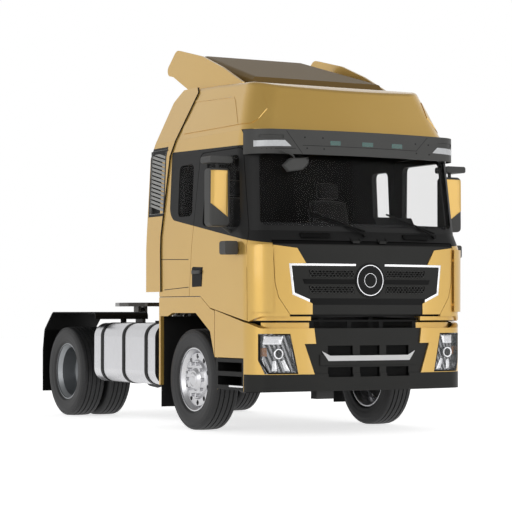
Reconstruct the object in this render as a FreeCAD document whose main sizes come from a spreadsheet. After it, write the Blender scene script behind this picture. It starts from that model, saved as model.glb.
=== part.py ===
import FreeCAD, Part
import math
import os
import Sketcher
from FreeCAD import Placement, Rotation, Vector

# Two-axle tractor unit with a high-roof cab over the engine.
# X points to the vehicle's left, Y to the rear, Z up. The origin lies on the ground
# under the middle of the bounding box. A "station" is a distance behind the bumper's front.

doc = FreeCAD.newDocument("TractorUnit")
sheet = doc.addObject("Spreadsheet::Sheet", "sizes")

# Driving dimensions in millimetres, grouped by the piece that they belong to.
DIMENSIONS = {
    # Whole vehicle
    "cab_width": 2490,
    "front_axle_station": 1540,
    "wheelbase": 3210,
    "panel_gap": 8,
    "seat_gap": 0.3,
    "overrun": 60,
    "least_radius": 1,
    # Plan shape of the front, shared by bumper and cab
    "front_bow_radius": 5550,
    "front_corner_radius": 270,
    "rear_corner_radius": 70,
    # Wheels
    "tyre_radius": 518,
    "tyre_width": 295,
    "tyre_shoulder": 34,
    "bead_radius": 326,
    "front_wheel_x": 1045,
    "rear_wheel_x": 1056,
    "dual_spacing": 334,
    "rim_width": 232,
    "rim_wall": 12,
    "rim_well_depth": 46,
    "disc_wall": 14,
    "hub_radius": 118,
    "hub_cap_radius": 92,
    "spindle_radius": 45,
    "spindle_clearance": 1,
    "hand_hole_circle": 238,
    "hand_hole_radius": 26,
    "drum_radius": 205,
    "drum_width": 120,
    # Steering axle
    "kingpin_x": 930,
    "kingpin_radius": 28,
    "kingpin_clearance": 1,
    "kingpin_boss": 52,
    "beam_height": 110,
    "beam_width": 100,
    "beam_drop": 95,
    "beam_drop_outer": 725,
    "beam_drop_inner": 577,
    "kingpin_eye_half": 66,
    "knuckle_ear": 50,
    "knuckle_gap": 1,
    # Frame
    "rail_half_width": 430,
    "rail_height": 266,
    "rail_flange": 80,
    "rail_wall": 9,
    "rail_top": 981,
    "rail_front_station": 300,
    "rail_overhang": 430,
    "crossmember_radius": 45,
    # Springs
    "leaf_width": 90,
    "leaf_thickness": 42,
    "leaf_length": 1500,
    "leaf_camber": 70,
    "spring_eye_radius": 32,
    "bellows_radius": 130,
    "bellows_offset": 370,
    # Rear axle
    "axle_tube_radius": 78,
    "banjo_radius": 220,
    "banjo_half_width": 200,
    "banjo_shoulder_half": 90,
    "banjo_shoulder_radius": 198,
    # Engine and driveline
    "engine_length": 1120,
    "engine_width": 620,
    "engine_height": 650,
    "engine_station": 580,
    "engine_bottom": 520,
    "gearbox_length": 820,
    "gearbox_radius": 215,
    "gearbox_rear_radius": 150,
    "gearbox_height": 730,
    "shaft_radius": 55,
    "flange_radius": 88,
    "flange_width": 36,
    # Fuel tank
    "tank_length": 1560,
    "tank_width": 650,
    "tank_height": 655,
    "tank_bottom": 430,
    "tank_outer_x": 1205,
    "tank_corner": 150,
    "tank_clearance": 150,
    "strap_width": 62,
    "strap_thickness": 6,
    # Box on the left side
    "box_clearance": 140,
    "box_length": 1180,
    "box_height": 640,
    "box_bottom": 430,
    "box_corner": 60,
    # Bumper
    "bumper_bottom": 440,
    "bumper_top": 1050,
    "bumper_wall": 60,
    "bumper_side_station": 340,
    "bumper_side_drop": 22,
    "panel_rear_top": 1227,
    "valance_top": 605,
    "centre_half_top": 624,
    "centre_half_mid": 605,
    "centre_half_step": 726,
    "centre_half_low": 620,
    "centre_step_height": 900,
    "centre_recess": 16,
    "intake_inner_half": 115,
    "intake_split": 195,
    "intake_outer_half": 470,
    "intake_low": 575,
    "intake_low_top": 670,
    "intake_high": 780,
    "intake_high_top": 880,
    "cross_bar_half": 560,
    "cross_bar_low": 690,
    "cross_bar_top": 790,
    # Step ledge on the bumper, and the bars under the cab's front edge
    "ledge_depth": 100,
    "ledge_wall": 18,
    "ledge_lip_top": 1105,
    "ledge_rear_station": 250,
    "intake_wall_top": 1132,
    "intake_post_x": 185,
    "intake_post_width": 50,
    "foot_bar_low": 1125,
    "foot_bar_height": 30,
    "foot_bar_half": 638,
    "foot_bar_inset": 40,
    "foot_bar_depth": 34,
    "foot_bar_reach": 150,
    # Bracket under the frame's front end
    "front_bracket_low": 350,
    "front_bracket_width": 195,
    "front_bracket_depth": 110,
    # Headlamps
    "lamp_bottom": 610,
    "lamp_top": 998,
    "lamp_inner_low": 790,
    "lamp_inner_top": 873,
    "lamp_outer": 1170,
    "lamp_outer_bend": 741,
    "lamp_outer_low": 1120,
    "lamp_rear_station": 240,
    "lens_wall": 5,
    "lamp_bowl_depth": 46,
    "lamp_rim": 13,
    "projector_x": 985,
    "projector_height": 800,
    "projector_radius": 46,
    # Side panels, steps and flares
    "panel_wall": 45,
    "panel_bottom": 445,
    "panel_rear_station": 940,
    "step_front_station": 345,
    "step_rear_station": 930,
    "step_top": 760,
    "step_depth": 300,
    "gap_front_station": 159,
    "gap_front_height": 1165,
    "gap_corner_station": 265,
    "gap_corner_height": 1118,
    "gap_mid_station": 1040,
    "gap_mid_height": 1252,
    "flare_top": 1370,
    "flare_front_station": 1250,
    "flare_rear_station": 2190,
    "flare_rear_low": 1165,
    "arch_clearance": 102,
    "mudguard_wall": 10,
    "mudguard_edge": 34,
    "mudguard_low": 440,
    "flap_low": 215,
    "flap_wall": 12,
    # Rear mudguards
    "rear_guard_top": 1210,
    "rear_guard_front": 882,
    "rear_guard_lip": 1130,
    "rear_guard_bend": 350,
    "rear_guard_slope": 600,
    "rear_guard_slope_height": 1000,
    "rear_guard_low": 760,
    "rear_flap_reach": 650,
    "rear_guard_wall": 12,
    "rear_guard_round": 90,
    "rear_guard_inner": 555,
    "rear_guard_outer": 1215,
    "rear_flap_low": 265,
    # Coupling
    "coupling_ahead": 50,
    "coupling_top": 1320,
    "coupling_plate": 45,
    "coupling_half": 455,
    "coupling_front_half": 328,
    "coupling_rear_half": 364,
    "coupling_front": 330,
    "coupling_rear": 480,
    "kingpin_bore": 51,
    "throat_half": 190,
    "plate_round": 80,
    "jaw_wall": 48,
    "pivot_height": 1215,
    "pivot_radius": 32,
    "pivot_clearance": 5,
    "bracket_wall": 40,
    "base_plate": 16,
    # Tail lamps and deck
    "tail_bar_height": 150,
    "tail_bar_depth": 70,
    "deck_front_station": 2560,
    "deck_ahead": 850,
    "deck_half": 420,
    "deck_wall": 6,
    # Cab
    "cab_rear_station": 2250,
    "rest_station": 2060,
    "rest_x": 390,
    "cab_low": 1080,
    "crease_height": 1860,
    "sill_height": 2000,
    "header_height": 2840,
    "roof_base": 3000,
    "sill_setback": 85,
    "header_setback": 190,
    "roof_base_setback": 215,
    "crease_out": 0,
    "low_in": 6,
    "sill_in": 4,
    "header_in": 42,
    "roof_base_in": 78,
    "cab_wall": 62,
    "bulkhead": 110,
    "cab_rear_low": 1420,
    # Roof
    "roof_apex": 3700,
    "roof_apex_in": 255,
    "roof_apex_setback": 520,
    "roof_brow_low": 3270,
    "roof_front_station": 600,
    "roof_front_height": 3495,
    "roof_middle_station": 1400,
    "roof_middle_height": 3540,
    "roof_rear_height": 3560,
    "roof_front_round": 800,
    "roof_edge_round": 60,
    "roof_wall": 50,
    "roof_panel_raise": 7,
    "roof_panel_front": 395,
    "roof_panel_rear_low": 1900,
    "roof_panel_rear_top": 1700,
    "roof_panel_top": 3375,
    "roof_panel_round": 60,
    # Openings of the cab
    "door_front_station": 290,
    "door_front_high": 446,
    "door_span": 300,
    "door_rear_low": 1490,
    "door_rear_mid": 1425,
    "door_rear_top": 1310,
    "door_top": 2815,
    "door_bend_height": 1910,
    "door_gap": 6,
    "door_top_round": 60,
    "door_rear_round": 90,
    "hinge_radius": 5,
    "hinge_inset": 13,
    "hinge_length": 130,
    "hinge_low": 1290,
    "hinge_high": 1640,
    "door_window_front": 405,
    "door_window_front_high": 500,
    "door_window_rear": 1215,
    "door_window_low_front": 2030,
    "door_window_low_rear": 2075,
    "door_window_top": 2750,
    "quarter_front": 1450,
    "quarter_rear": 1770,
    "quarter_low": 2190,
    "quarter_top": 2720,
    "window_round": 60,
    "glass_setback": 10,
    "glass_wall": 6,
    "screen_low": 2050,
    "screen_top": 2760,
    "screen_half_low": 1120,
    "screen_half_top": 1085,
    # Front flap: painted wings with the grille panel let in between them
    "flap_bottom": 1185,
    "flap_top": 1900,
    "flap_half_low": 873,
    "flap_half_high": 1045,
    "flap_hip_half": 990,
    "flap_hip_height": 1353,
    "flap_waist_half": 1025,
    "flap_waist_height": 1490,
    "flap_wall_depth": 46,
    "flap_pocket": 120,
    "flap_gap": 6,
    "flap_hinge_station": 16,
    "flap_hinge_x": 100,
    "flap_hinge_length": 110,
    "flap_lug_wall": 10,
    "flap_pin_radius": 3,
    "flap_barrel_radius": 7,
    "grille_wall": 22,
    "grille_back": 5,
    "wing_top_height": 1864,
    "wing_shoulder_x": 800,
    "wing_shoulder_height": 1828,
    "wing_neck_x": 709,
    "wing_neck_height": 1683,
    "grille_half_high": 886,
    "grille_high": 1674,
    "grille_half_low": 845,
    "grille_low": 1380,
    "grille_foot_x": 673,
    "grille_foot_height": 1306,
    "chin_half": 642,
    "chin_height": 1290,
    "grille_row_low": 1392,
    "grille_row_high": 1547,
    "grille_row_height": 70,
    "grille_row_inner": 178,
    "grille_row_outer": 668,
    "grille_bar": 11,
    "grille_cells": 7,
    "grille_cell_lean": 22,
    "badge_radius": 172,
    "badge_height": 1520,
    "badge_rise": 8,
    # Sun visor
    "visor_low": 2745,
    "visor_top": 2985,
    "visor_reach": 125,
    "visor_side_station": 418,
    "visor_wall": 14,
    "marker_inner": 905,
    "marker_outer": 1130,
    "marker_low": 2893,
    "marker_top": 2928,
    "marker_depth": 9,
    # Roof spoiler: a hood between two fins
    "spoiler_half_low": 770,
    "spoiler_half_top": 665,
    "spoiler_front_station": 1000,
    "spoiler_rear_station": 2350,
    "spoiler_top": 3975,
    "spoiler_wall": 22,
    "spoiler_round": 110,
    "brace_height": 3740,
    "brace_radius": 15,
    "fin_x": 850,
    "fin_wall": 26,
    "fin_front_station": 1030,
    "fin_front_height": 3540,
    "fin_first_station": 1470,
    "fin_first_height": 3740,
    "fin_second_station": 1920,
    "fin_second_height": 3905,
    "fin_rear_station": 2510,
    "fin_top": 4040,
    "fin_tail_station": 2800,
    "fin_tail_height": 3800,
    "fin_under": 3756,
    "fin_round": 300,
    "neck_rear_station": 2590,
    "neck_low": 3590,
    # Side fairings with a louvre in each
    "fairing_rear_low": 2470,
    "fairing_rear_station": 2440,
    "fairing_rear_high": 2280,
    "fairing_top": 3560,
    "fairing_front_low": 2130,
    "fairing_front_mid": 1990,
    "fairing_front_high": 1760,
    "fairing_wall": 26,
    "fairing_stand": 16,
    "fairing_round": 200,
    "louvre_front": 2092,
    "louvre_rear": 2405,
    "louvre_low": 2245,
    "louvre_top": 2915,
    "louvre_slats": 14,
    "louvre_slat_wall": 8,
    "louvre_slat_out": 11,
    "louvre_slat_gap": 15,
    "louvre_slat_rise": 70,
    "louvre_round": 20,
    # Corner air deflectors
    "deflector_wall": 12,
    "deflector_stand": 26,
    "deflector_low": 1210,
    "deflector_top": 1840,
    # Mirrors: the main glass, a wide one above it and a small one below
    "mirror_inner": 1268,
    "mirror_outer": 1490,
    "mirror_station": 620,
    "mirror_depth": 125,
    "mirror_low": 2045,
    "mirror_top": 2620,
    "mirror_round": 46,
    "mirror_edge_round": 20,
    "kerb_mirror_low": 2664,
    "kerb_mirror_height": 66,
    "kerb_mirror_outer": 1512,
    "kerb_mirror_depth": 210,
    "corner_mirror_inner": 1256,
    "corner_mirror_outer": 1398,
    "corner_mirror_station": 425,
    "corner_mirror_depth": 120,
    "corner_mirror_low": 1768,
    "corner_mirror_top": 1900,
    "mirror_arm_radius": 18,
    # Interior
    "floor_height": 1440,
    "floor_wall": 40,
    "dash_station": 640,
    "dash_top": 2080,
    "dash_low": 1560,
    "dash_shelf": 110,
    "dash_side_gap": 85,
    "dash_inset": 90,
    "binnacle_half": 230,
    "binnacle_rise": 95,
    "binnacle_brow": 66,
    "dash_round": 30,
    "wheel_radius": 225,
    "wheel_grip": 16,
    "wheel_tilt": 35,
    "wheel_hub_radius": 63,
    "column_radius": 35,
    "driver_x": 560,
    "seat_station": 1130,
    "seat_width": 500,
    "seat_depth": 480,
    "seat_height": 1880,
    "cushion": 130,
    "back_height": 720,
    "back_lean": 110,
    "seat_round": 55,
    "stand_bevel": 60,
    "bunk_front_station": 1780,
    "bunk_height": 1990,
    "bunk_thickness": 150,
    # Wipers
    "wiper_reach": 590,
    "wiper_rise": 210,
    "wiper_elbow_reach": 221,
    "wiper_elbow_rise": 96,
    "wiper_pivot_height": 1968,
    "wiper_pivot_x": 37,
    "wiper_spacing": 871,
    "wiper_arm_radius": 9,
    "wiper_blade_reach": 600,
    "wiper_blade_fall": 174,
    "wiper_stand": 26,
    # Joints
    "tilt_station": 160,
    "tilt_height": 800,
    "tilt_pin_radius": 30,
    "tilt_arm_x": 270,
    "tilt_arm_wall": 46,
    "tilt_arm_station": 500,
    "tilt_arm_half": 42,
}

for row, (name, value) in enumerate(DIMENSIONS.items(), start=1):
    sheet.set(f"A{row}", name)
    sheet.set(f"B{row}", str(value))
    sheet.setAlias(f"B{row}", name)
doc.recompute()


class Size(float):
    """A length that also knows how it is written in terms of the sheet's cells."""

    def __new__(cls, value, text=None):
        size = super().__new__(cls, value)
        size.text = text if text is not None else repr(float(value))
        return size

    def joined(self, sign, other, value, swap=False):
        mine, theirs = self.text, Size.written(other)
        first, second = (theirs, mine) if swap else (mine, theirs)
        return Size(value, f"({first} {sign} {second})")

    @staticmethod
    def written(value):
        return value.text if isinstance(value, Size) else repr(float(value))

    def __add__(self, other):
        return self.joined("+", other, float(self) + float(other))

    def __radd__(self, other):
        return self.joined("+", other, float(other) + float(self), swap=True)

    def __sub__(self, other):
        return self.joined("-", other, float(self) - float(other))

    def __rsub__(self, other):
        return self.joined("-", other, float(other) - float(self), swap=True)

    def __mul__(self, other):
        return self.joined("*", other, float(self) * float(other))

    def __rmul__(self, other):
        return self.joined("*", other, float(other) * float(self), swap=True)

    def __truediv__(self, other):
        return self.joined("/", other, float(self) / float(other))

    def __neg__(self):
        return Size(-float(self), f"(-{self.text})")


class Sizes:
    """The sheet's cells as attributes."""

    def __init__(self, names):
        for name in names:
            setattr(self, name, Size(sheet.get(name), f"sizes.{name}"))


d = Sizes(DIMENSIONS)
half_width = d.cab_width / 2
rear_axle_station = d.front_axle_station + d.wheelbase
overall_length = rear_axle_station + d.rear_flap_reach
rail_rear_station = rear_axle_station + d.rail_overhang
coupling_station = rear_axle_station - d.coupling_ahead
nodes = {}


def along(station):
    """Y of a station, measured from the foremost plane."""
    return station - overall_length / 2


def keep(name, shape, at=(0, 0, 0)):
    """Adds a finished shape to the document as a sub-part."""
    feature = doc.addObject("Part::Feature", name)
    feature.Shape = shape
    feature.Placement = Placement(Vector(*at), Rotation())
    feature.Label = name
    nodes[name] = feature
    return feature


def mirrored(shape):
    """The same shape on the other side of the vehicle."""
    return shape.mirror(Vector(0, 0, 0), Vector(1, 0, 0))


def both_sides(shape):
    """One compound with a shape and its mirror image."""
    return Part.makeCompound([shape, mirrored(shape)])


def box(x0, x1, y0, y1, z0, z1):
    return Part.makeBox(x1 - x0, y1 - y0, z1 - z0, Vector(x0, y0, z0))


def rod(start, end, radius):
    """A round bar between two points."""
    axis = Vector(*end) - Vector(*start)
    return Part.makeCylinder(radius, axis.Length, Vector(*start), axis)


SAME_POINT = 1e-6


def rounded(points, radius=0):
    """A closed flat wire through 3-D points, with each corner rounded by the same radius
    or by the radius that a list gives for it."""
    radii = radius if isinstance(radius, (list, tuple)) else [radius] * len(points)
    corners = [Vector(*point) for point in points]
    starts, ends, arcs = [], [], []
    for index, corner in enumerate(corners):
        before, after = corners[index - 1] - corner, corners[(index + 1) % len(corners)] - corner
        size = float(radii[index])
        if size <= 0:
            starts.append(corner)
            ends.append(corner)
            arcs.append(None)
            continue
        half = before.getAngle(after) / 2
        reach = size / math.tan(half)
        before.normalize()
        after.normalize()
        first, last = corner + before * reach, corner + after * reach
        middle = (before + after).normalize()
        centre_distance = size / math.sin(half)
        top = corner + middle * (centre_distance - size)
        starts.append(first)
        ends.append(last)
        arcs.append(Part.Arc(first, top, last).toShape())
    edges = []
    for index in range(len(corners)):
        if arcs[index]:
            edges.append(arcs[index])
        following = (index + 1) % len(corners)
        if (starts[following] - ends[index]).Length > SAME_POINT:
            edges.append(Part.LineSegment(ends[index], starts[following]).toShape())
    return Part.Wire(edges)


def slab(points, radius, direction):
    """A flat outline with rounded corners, pushed along a direction."""
    return Part.Face(rounded(points, radius)).extrude(Vector(*direction))


def side_slab(outline, radius, x0, x1):
    """An outline in stations and heights, pushed across the vehicle from x0 to x1."""
    points = [(x0, along(station), height) for station, height in outline]
    return slab(points, radius, (x1 - x0, 0, 0))


def front_slab(outline, radius, y0, y1):
    """An outline in X and heights, pushed along the vehicle from y0 to y1."""
    return slab([(x, y0, height) for x, height in outline], radius, (0, y1 - y0, 0))


def plan_wire(height, half, front, rear, corner, inset=0, bow=None):
    """The cab's outline from above at one height: a bowed front, round corners, straight
    sides and a square back with small corners."""
    bow_radius = float(bow or d.front_bow_radius) - inset
    corner_radius = max(float(corner) - inset, float(d.least_radius))
    half, front, rear = float(half) - inset, float(front) + inset, float(rear) - inset
    back_radius = max(float(d.rear_corner_radius) - inset, float(d.least_radius))
    bow_centre = float(along(front)) + bow_radius
    corner_x = half - corner_radius
    corner_y = bow_centre - math.sqrt((bow_radius - corner_radius) ** 2 - corner_x ** 2)
    rear_y = float(along(rear))
    turn = math.atan2(corner_x, bow_centre - corner_y)
    tangent = Vector(bow_radius * math.sin(turn), bow_centre - bow_radius * math.cos(turn), height)
    lean = (math.pi / 2 + turn) / 2
    middle = Vector(corner_x + corner_radius * math.sin(lean),
                    corner_y - corner_radius * math.cos(lean), height)
    side = Vector(half, corner_y, height)
    back = Vector(half, rear_y - back_radius, height)
    back_middle = Vector(half - back_radius * (1 - math.sqrt(0.5)),
                         rear_y - back_radius * (1 - math.sqrt(0.5)), height)
    last = Vector(half - back_radius, rear_y, height)
    flip = lambda point: Vector(-point.x, point.y, point.z)
    edges = [
        Part.Arc(flip(tangent), Vector(0, bow_centre - bow_radius, height), tangent).toShape(),
        Part.Arc(tangent, middle, side).toShape(),
        Part.LineSegment(side, back).toShape(),
        Part.Arc(back, back_middle, last).toShape(),
        Part.LineSegment(last, flip(last)).toShape(),
        Part.Arc(flip(last), flip(back_middle), flip(back)).toShape(),
        Part.LineSegment(flip(back), flip(side)).toShape(),
        Part.Arc(flip(side), flip(middle), flip(tangent)).toShape(),
    ]
    return Part.Wire(edges)


def cab_rows(inset, bulkhead, rear, stretch=0):
    """The cab body's sections from its lower edge to the roof's base. A stretch carries
    the first and last ones on past the ends."""
    rise = d.roof_base - d.header_height
    rows = [
        (d.cab_low - stretch, d.low_in, 0, 1),
        (d.crease_height, d.crease_out, 0, 1),
        (d.sill_height, d.sill_in, d.sill_setback, 0),
        (d.header_height, d.header_in, d.header_setback, 0),
        (d.roof_base + stretch, d.roof_base_in + (d.roof_base_in - d.header_in) * stretch / rise,
         d.roof_base_setback + (d.roof_base_setback - d.header_setback) * stretch / rise, 0),
    ]
    return [plan_wire(height, half_width - narrow, setback + bulkhead * deep, rear,
                      d.front_corner_radius, inset) for height, narrow, setback, deep in rows]


def cab_block(inset=0, bulkhead=0, stretch=0):
    """The cab's closed form, or one that lies inside it by an inset."""
    return Part.makeLoft(cab_rows(inset, bulkhead, d.cab_rear_station, stretch), True, True)


def cab_skin(outer, inner):
    """A layer of the cab's wall between two depths under its outer face."""
    return cab_block(outer).cut(cab_block(inner, 0, d.overrun))


# Lower edge of the cab, seen from the side, from the front to the rear
GAP_LINE = [
    (d.gap_front_station, d.gap_front_height),
    (d.gap_corner_station, d.gap_corner_height),
    (d.gap_mid_station, d.gap_mid_height),
    (d.flare_front_station, d.flare_top),
]


def body(name):
    """An empty sub-part with its own origin planes."""
    made = doc.addObject("PartDesign::Body", name)
    made.Label = name
    nodes[name] = made
    return made


def plane_of(owner, role):
    """One of a sub-part's own planes or axes."""
    return next(item for item in owner.Origin.OriginFeatures if item.Role == role)


def sketch(owner, role, points, name="Outline"):
    """A closed outline on one of the sub-part's own planes, every corner held by two
    distances that follow the sheet."""
    drawn = owner.newObject("Sketcher::SketchObject", name)
    drawn.AttachmentSupport = [(plane_of(owner, role), "")]
    drawn.MapMode = "FlatFace"
    corners = [Vector(float(a), float(b), 0) for a, b in points]
    count = len(corners)
    for index in range(count):
        drawn.addGeometry(Part.LineSegment(corners[index], corners[(index + 1) % count]))
    for index in range(count):
        drawn.addConstraint(Sketcher.Constraint("Coincident", index, 2, (index + 1) % count, 1))
    for index, pair in enumerate(points):
        for kind, axis, value in zip(("DistanceX", "DistanceY"), (-2, -1), pair):
            if float(value) == 0:
                drawn.addConstraint(Sketcher.Constraint("PointOnObject", index, 1, axis))
                continue
            held = drawn.addConstraint(
                Sketcher.Constraint(kind, -1, 1, index, 1, float(value)))
            drawn.setExpression(f"Constraints[{held}]", Size.written(value))
    return drawn


def pad(owner, profile, length, midplane=False, name="Pad"):
    feature = owner.newObject("PartDesign::Pad", name)
    feature.Profile = profile
    feature.setExpression("Length", Size.written(length))
    feature.Midplane = midplane
    doc.recompute()
    return feature


def turned(owner, profile, role="X_Axis", name="Revolution"):
    """A full turn of an outline round one of the sub-part's own axes."""
    feature = owner.newObject("PartDesign::Revolution", name)
    feature.Profile = profile
    feature.ReferenceAxis = (plane_of(owner, role), [""])
    feature.Angle = 360
    doc.recompute()
    return feature


def place(item, x=0, y=0, z=0):
    """Sets a sub-part's place from the sheet."""
    for axis, value in zip("xyz", (x, y, z)):
        item.setExpression(f"Placement.Base.{axis}", Size.written(value))


# Frame: two channel rails joined by tubes
rail_bottom = d.rail_top - d.rail_height
rail_length = rail_rear_station - d.rail_front_station
rail_inner = d.rail_half_width - d.rail_flange
rails = body("frame_rails")
rail_outline = [
    (d.rail_half_width, rail_bottom),
    (d.rail_half_width, d.rail_top),
    (rail_inner, d.rail_top),
    (rail_inner, d.rail_top - d.rail_wall),
    (d.rail_half_width - d.rail_wall, d.rail_top - d.rail_wall),
    (d.rail_half_width - d.rail_wall, rail_bottom + d.rail_wall),
    (rail_inner, rail_bottom + d.rail_wall),
    (rail_inner, rail_bottom),
]
rail_pad = pad(rails, sketch(rails, "XZ_Plane", rail_outline), rail_length)
rail_pair = rails.newObject("PartDesign::Mirrored", "Pair")
rail_pair.Originals = [rail_pad]
rail_pair.MirrorPlane = (plane_of(rails, "YZ_Plane"), [""])
rails.Tip = rail_pair
place(rails, y=along(rail_rear_station))

web_inner = d.rail_half_width - d.rail_wall
rail_middle = d.rail_top - d.rail_height / 2
CROSSMEMBER_SHARES = (0.5, 0.62, 0.86, 0.985)
members = []
for share in CROSSMEMBER_SHARES:
    y = along(d.rail_front_station + rail_length * share)
    members.append(rod((-web_inner, y, rail_middle), (web_inner, y, rail_middle),
                       d.crossmember_radius))

# The cab's tilt tube and its bearings at the front end of the rails
tilt_y = along(d.tilt_station)
tilt_bearing = d.tilt_pin_radius * 2
tilt_frame = rod((-web_inner, tilt_y, d.tilt_height), (web_inner, tilt_y, d.tilt_height),
                 d.tilt_pin_radius)
bearing_arm = box(rail_inner + d.rail_wall, web_inner, tilt_y - tilt_bearing,
                  along(d.rail_front_station + d.overrun * 3),
                  d.tilt_height - tilt_bearing, d.tilt_height + tilt_bearing)
members.append(tilt_frame.multiFuse([bearing_arm, mirrored(bearing_arm)]))

# A towing bracket that hangs from the right-hand rail, and a bar behind the rails
bracket_outer = d.rail_half_width + d.bracket_wall / 4
members.append(box(-bracket_outer, d.front_bracket_width - bracket_outer,
                   along(d.rail_front_station),
                   along(d.rail_front_station + d.front_bracket_depth),
                   d.front_bracket_low, rail_bottom - d.seat_gap))
tail_y = along(rail_rear_station)
members.append(box(-d.rail_half_width, d.rail_half_width, tail_y + d.seat_gap,
                   tail_y + d.tail_bar_depth / 2, rail_bottom, rail_bottom + d.tail_bar_height))
keep("crossmembers", Part.makeCompound(members))

# Rests under the rear of the cab: two posts and a beam on the rails
rest_y = along(d.rest_station)
rest_top = d.floor_height - d.floor_wall - d.seat_gap
rest_beam_low = d.rail_top + d.rail_height / 2
rest = box(-d.rest_x - d.bracket_wall, d.rest_x + d.bracket_wall,
           rest_y - d.bracket_wall, rest_y + d.bracket_wall,
           rest_beam_low, rest_beam_low + d.bracket_wall * 2)
post = box(d.rest_x - d.bracket_wall, d.rest_x + d.bracket_wall,
           rest_y - d.bracket_wall, rest_y + d.bracket_wall, d.rail_top + d.seat_gap, rest_top)
keep("cab_rests", rest.multiFuse([post, mirrored(post)]))

# Front axle: a dropped beam with an eye for the kingpin at each end
front_y = along(d.front_axle_station)
beam_top = d.tyre_radius - d.beam_drop + d.beam_height / 2
end_top, end_low = d.tyre_radius + d.beam_height / 2, d.tyre_radius - d.beam_height / 2
beam_half = [(d.kingpin_x, end_top), (d.kingpin_x, end_low), (d.beam_drop_outer, end_low),
             (d.beam_drop_inner, beam_top - d.beam_height)]
beam_half_back = [(d.beam_drop_inner, beam_top), (d.beam_drop_outer, end_top)]
beam_outline = (beam_half + [(-x, z) for x, z in beam_half[::-1]]
                + [(-x, z) for x, z in beam_half_back[::-1]] + beam_half_back)
beam = front_slab(beam_outline, 0, front_y - d.beam_width / 2, front_y + d.beam_width / 2)
for x in (d.kingpin_x, -d.kingpin_x):
    beam = beam.fuse(rod((x, front_y, d.tyre_radius - d.kingpin_eye_half),
                         (x, front_y, d.tyre_radius + d.kingpin_eye_half), d.kingpin_boss))
    beam = beam.cut(rod((x, front_y, 0), (x, front_y, d.tyre_radius * 2),
                        d.kingpin_radius + d.kingpin_clearance))
keep("front_axle", beam)

# Springs: a leaf pack over the front axle on each side, an air bellows pair at the rear
rear_y = along(rear_axle_station)
leaf_inner = d.rail_half_width - d.leaf_width * 3 / 4
leaf_outer = leaf_inner + d.leaf_width
leaf_low = beam_top + d.seat_gap
arc_points = [
    Vector(leaf_inner, front_y - d.leaf_length / 2, leaf_low + d.leaf_camber),
    Vector(leaf_inner, front_y, leaf_low),
    Vector(leaf_inner, front_y + d.leaf_length / 2, leaf_low + d.leaf_camber),
]
lower = Part.Arc(*arc_points).toShape()
upper = Part.Arc(*[point + Vector(0, 0, d.leaf_thickness) for point in arc_points]).toShape()
ends = [Part.LineSegment(arc_points[i], arc_points[i] + Vector(0, 0, d.leaf_thickness)).toShape()
        for i in (0, 2)]
leaf = Part.Face(Part.Wire([lower, ends[1], upper, ends[0]])).extrude(
    Vector(d.leaf_width, 0, 0))
eye_z = leaf_low + d.leaf_camber + d.leaf_thickness / 2
for y in (front_y - d.leaf_length / 2, front_y + d.leaf_length / 2):
    eye = rod((leaf_inner, y, eye_z), (leaf_outer, y, eye_z), d.spring_eye_radius)
    hanger = box(leaf_inner, leaf_outer, y - d.spring_eye_radius, y + d.spring_eye_radius,
                 eye_z, rail_bottom - d.seat_gap)
    leaf = leaf.multiFuse([eye, hanger])
keep("front_springs", both_sides(leaf))

# Rear axle: a banjo housing with a round tube each side
wheel_inner = d.rear_wheel_x - d.dual_spacing - d.tyre_width / 2
rear_axle = body("rear_axle")
tube_end = d.rear_wheel_x - d.dual_spacing / 2
axle_half = [
    (tube_end, 0),
    (tube_end, d.spindle_radius),
    (wheel_inner, d.spindle_radius),
    (wheel_inner, d.axle_tube_radius),
    (d.banjo_half_width, d.axle_tube_radius),
    (d.banjo_shoulder_half, d.banjo_shoulder_radius),
]
axle_outline = ([(-x, radius) for x, radius in axle_half] + [(0, d.banjo_radius)]
                + axle_half[::-1])
turned(rear_axle, sketch(rear_axle, "XY_Plane", axle_outline))
place(rear_axle, y=along(rear_axle_station), z=d.tyre_radius)

bellows_low = d.tyre_radius + d.axle_tube_radius
bellows_x = d.rail_half_width - d.rail_flange / 2
bellows_base = bellows_low + d.leaf_thickness
spring_arm = box(bellows_x - d.leaf_width / 2, bellows_x + d.leaf_width / 2,
                 rear_y - d.bellows_offset, rear_y + d.bellows_offset,
                 bellows_low + d.seat_gap, bellows_base)
bags = [Part.makeCylinder(d.bellows_radius, rail_bottom - d.seat_gap - bellows_base,
                          Vector(bellows_x, y, bellows_base))
        for y in (rear_y - d.bellows_offset, rear_y + d.bellows_offset)]
keep("rear_springs", both_sides(spring_arm.multiFuse(bags)))

# Engine: one plain block with the gearbox on its rear end, and the shaft behind it
gearbox_front = d.engine_station + d.engine_length
gearbox_rear = gearbox_front + d.gearbox_length
engine = box(-d.engine_width / 2, d.engine_width / 2, along(d.engine_station),
             along(gearbox_front), d.engine_bottom, d.engine_bottom + d.engine_height)
gearbox = Part.makeCone(d.gearbox_radius, d.gearbox_rear_radius, d.gearbox_length,
                        Vector(0, along(gearbox_front), d.gearbox_height), Vector(0, 1, 0))
mounts = box(-web_inner, web_inner, along(gearbox_front - d.bracket_wall * 3),
             along(gearbox_front - d.bracket_wall), rail_middle - d.bracket_wall,
             rail_middle + d.bracket_wall)
keep("engine", engine.multiFuse([gearbox, mounts]))

shaft_front = along(gearbox_rear + d.seat_gap)
shaft_rear = rear_y - d.banjo_radius - d.seat_gap - d.flange_width
shaft = rod((0, shaft_front + d.flange_width / 2, d.gearbox_height),
            (0, shaft_rear + d.flange_width / 2, d.tyre_radius), d.shaft_radius)
flanges = [rod((0, y, z), (0, y + d.flange_width, z), d.flange_radius)
           for y, z in ((shaft_front, d.gearbox_height), (shaft_rear, d.tyre_radius))]
keep("drive_shaft", shaft.multiFuse(flanges))

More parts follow.
